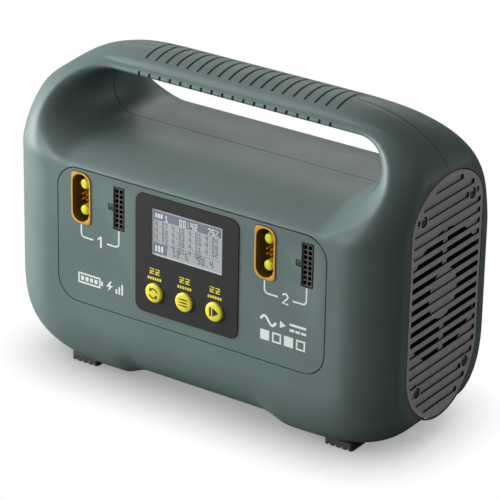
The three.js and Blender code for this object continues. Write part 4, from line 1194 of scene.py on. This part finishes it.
def build_feet():
    """Rubber blocks with grooves front to back."""
    for row in ("front", "rear"):
        for end in ("left", "right"):
            node = f"foot_{row}_{end}"
            low, high = box_mm(node)
            outline = rounded_rectangle(low.x, high.x, low.y, high.y, 2, 5)
            pad = prism(node + "_pad", outline, "z", low.z, high.z)
            grooves = []
            for step in (-1.5, -0.5, 0.5, 1.5):
                x = (low.x + high.x) / 2 + step * 4.4
                grooves.append(block("groove", (x - 0.7, x + 0.7, -1, 1.2), low.y - 1, high.y + 1))
            combine(pad, grooves)
            bevel(pad, 0.35, 2)
            finish_piece(pad, "rubber", stands_for=[node])


BLADES = 7
# Radius and distance behind the front of the hub.
HUB_PROFILE = ((0, 0), (14.5, 0), (16.8, 0.8), (17.5, 2.2))


def build_fans():
    """Curved blades on a domed hub."""
    for end, side in ENDS:
        node = "fan_rotor_" + end
        low, high = box_mm(node)
        outer, inner = (high.x, low.x) if side > 0 else (low.x, high.x)
        front, back = outer - side * 0.2, inner + side * 3.9
        profile = [(radius, front - side * behind) for radius, behind in HUB_PROFILE]
        hub = lathe(f"rotor_{end}_hub", profile + [(17.5, back), (0, back)], "x", (0, FAN_Z), 48)
        finish_piece(hub, "fan", node, [node])
        for number in range(BLADES):
            blade = fan_blade(f"rotor_{end}_blade_{number}", number / BLADES * 2 * math.pi, side)
            finish_piece(blade, "fan", node, smooth=50)


def fan_blade(name, turn, side, root=16.5, tip=41.3, chord=21.0):
    """A blade whose pitch falls from root to tip, as a thin closed sheet."""
    centre = (abs(middle("fan_frame_right").x) + 2) * side
    rows, columns = 10, 9
    sheets = []
    for lift in (0.6, -0.6):
        sheet = []
        for i in range(rows):
            share = i / (rows - 1)
            radius = blend(root, tip, share)
            pitch = math.radians(blend(56, 32, share))
            for j in range(columns):
                along = (j / (columns - 1) - 0.5) * chord * blend(0.8, 1.1, share)
                thin = 1 - 0.75 * abs(2 * j / (columns - 1) - 1) ** 3
                up = lift * thin + 1.2 * (1 - (2 * along / chord) ** 2)
                aside = along * math.cos(pitch) - up * math.sin(pitch) + 5 * share * share
                deep = centre + side * (along * math.sin(pitch) + up * math.cos(pitch))
                around = turn + aside / radius
                sheet.append((deep, radius * math.cos(around), FAN_Z + radius * math.sin(around)))
        sheets.append(sheet)
    return two_sheets(name, sheets, rows, columns)


def build_inlet():
    """Mains inlet with a keyed cavity and three blade pins."""
    low, high = box_mm("ac_inlet")
    body = prism("inlet_body", rounded_rectangle(*edges_of("ac_inlet"), 3, 6), "y", low.y, high.y)
    x, z = (low.x + high.x) / 2, (low.z + high.z) / 2
    cavity = rounded_rectangle(x - 11, x + 11, z - 7, z + 7, [1, 1, 4, 4], 5)
    combine(body, [prism("cavity", cavity, "y", high.y - 16, high.y + 1)])
    bevel(body, 0.4, 2)
    finish_piece(body, "black", stands_for=["ac_inlet"])
    for name in ("neutral", "earth", "line"):
        node = "inlet_pin_" + name
        low, high = box_mm(node)
        pin = block(node + "_blade", edges_of(node), low.y, high.y)
        bevel(pin, 0.3, 2)
        finish_piece(pin, "steel", stands_for=[node])


# Materials of the CAD nodes that are shown as they are.
CAD_LOOKS = {
    "board": ["control_board", "power_board"],
    "black": ["switch_cycle", "switch_list", "switch_start", "panel_cable"],
    "fan": ["fan_frame_right", "fan_frame_left"],
    "ferrite": ["transformer"],
    "aluminium": ["heatsink_left", "heatsink_right"],
    "sleeve": ["bulk_capacitor_left", "bulk_capacitor_right"],
    "copper": ["line_filter_choke"],
}


def dress_cad_nodes():
    for look, nodes in CAD_LOOKS.items():
        for node in nodes:
            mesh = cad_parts[node].data
            mesh.materials.clear()
            mesh.materials.append(LOOKS[look])
            mesh.shade_smooth()
            mesh.set_sharp_from_angle(angle=math.radians(30))


# ---------------------------------------------------------------- stage
FLOOR_REACH = 9000
# Painted contact shadow: the seen floor's glow drops from white to grey where the floor is occluded.
FLOOR_PAINTED_SHADOW = ((0.05, (0.28, 0.28, 0.29, 1)), (0.85, grey(1)))
ROOM_LIGHT = (0.016, 0.0162, 0.0165, 1)
LAMP_DISTANCE = 1700
LAMP_AIM = Vector((0, 0, 100))
# Soft boxes round the charger: name, azimuth (0 in front, negative to the left), elevation, width,
# height in millimetres and power in watts.
LAMPS = (
    ("left_low", -75, 8, 800, 600, 24),
    ("left", -60, 12, 800, 600, 13),
    ("front_left", -35, 12, 800, 600, 8),
    ("front_right", 20, 35, 800, 600, 2.1),
    ("top", 0, 80, 800, 600, 2.0),
    ("left_rear_high", -120, 55, 800, 600, 3.4),
    ("rear", -150, 25, 800, 600, 6.0),
    ("right_rear", 130, 15, 800, 600, 3.7),
    ("left_strip", -75, 30, 250, 1200, 5.6),
)
# Camera fitted to the photo's outline: degrees, then millimetres.
AZIMUTH, ELEVATION, ROLL = 34.34, 24.09, 1.1
TARGET, DISTANCE, LENS = Vector((-0.26, 0, 87.52)), 1779.58, 210.46


def outward(azimuth, elevation):
    """Direction from the charger to a lamp or the camera."""
    turn, tilt = math.radians(azimuth), math.radians(elevation)
    return Vector((math.sin(turn) * math.cos(tilt), -math.cos(turn) * math.cos(tilt), math.sin(tilt)))


def build_floor():
    """Pale floor: even white as seen, with a painted contact shadow where something nearly touches it, soft
    bounce.
    """
    low, high = -FLOOR_REACH, FLOOR_REACH
    corners = [(x, y, 0) for x, y in box_outline(low, high, low, high)]
    floor = make_object("floor", corners, [(0, 1, 2, 3)])
    nodes = Nodes(bpy.data.materials.new("floor_pale"))
    nodes.finish(base_color=grey(0.24), roughness=0.6)
    near = nodes.add("ShaderNodeAmbientOcclusion", distance=45 * MM)
    near.samples = 8
    # The glow carries the painted contact shadow.
    glow = nodes.add("ShaderNodeEmission", color=nodes.ramp(near.outputs["AO"], *FLOOR_PAINTED_SHADOW))
    seen = nodes.add("ShaderNodeLightPath").outputs["Is Camera Ray"]
    mixed = nodes.tree.nodes.new("ShaderNodeMixShader")
    for index, value in enumerate((seen, nodes.shader.outputs["BSDF"], glow.outputs["Emission"])):
        nodes.plug(mixed.inputs[index], value)
    nodes.plug(nodes.tree.nodes["Material Output"].inputs["Surface"], mixed.outputs[0])
    floor.data.materials.append(nodes.owner)


def build_room():
    """White where the camera sees it, and nearly dark as a light."""
    nodes = Nodes(bpy.data.worlds.new("studio"), "Background")
    seen = nodes.add("ShaderNodeLightPath").outputs["Is Camera Ray"]
    bpy.context.scene.world = nodes.finish(color=nodes.ramp(seen, (0, ROOM_LIGHT), (1, grey(1))))


def add_lamp(name, azimuth, elevation, width, height, power):
    data = bpy.data.lights.new(name, "AREA")
    data.shape = "RECTANGLE"
    data.size, data.size_y = width * MM, height * MM
    data.energy = power
    light = bpy.data.objects.new(name, data)
    away = outward(azimuth, elevation)
    light.location = (LAMP_AIM + away * LAMP_DISTANCE) * MM
    light.rotation_mode = "QUATERNION"
    light.rotation_quaternion = (-away).to_track_quat("-Z", "Y")
    bpy.context.scene.collection.objects.link(light)


def build_camera():
    azimuth, roll = math.radians(AZIMUTH), math.radians(ROLL)
    right = Vector((math.cos(azimuth), math.sin(azimuth), 0))
    back = outward(AZIMUTH, ELEVATION)
    up = back.cross(right)
    turned_right = right * math.cos(roll) + up * math.sin(roll)
    turned_up = up * math.cos(roll) - right * math.sin(roll)
    data = bpy.data.cameras.new("camera")
    data.lens = LENS
    data.clip_start, data.clip_end = 0.1, 50
    camera = bpy.data.objects.new("camera", data)
    turn = Matrix((turned_right, turned_up, back)).transposed()
    camera.matrix_world = Matrix.Translation((TARGET + back * DISTANCE) * MM) @ turn.to_4x4()
    bpy.context.scene.collection.objects.link(camera)
    bpy.context.scene.camera = camera


build_shells()
build_screw_sleeves()
build_grips()
build_panel()
build_bezel()
build_buttons()
build_display()
build_labels()
build_channel_print()
build_generic_marks()
build_power_sockets()
build_balance_sockets()
for end, side in ENDS:
    build_grille(end, side)
build_screws()
build_feet()
build_fans()
build_inlet()
dress_cad_nodes()
build_floor()
build_room()
for lamp in LAMPS:
    add_lamp(*lamp)
build_camera()
bpy.context.scene.view_settings.view_transform = "Standard"

bpy.context.view_layer.update()
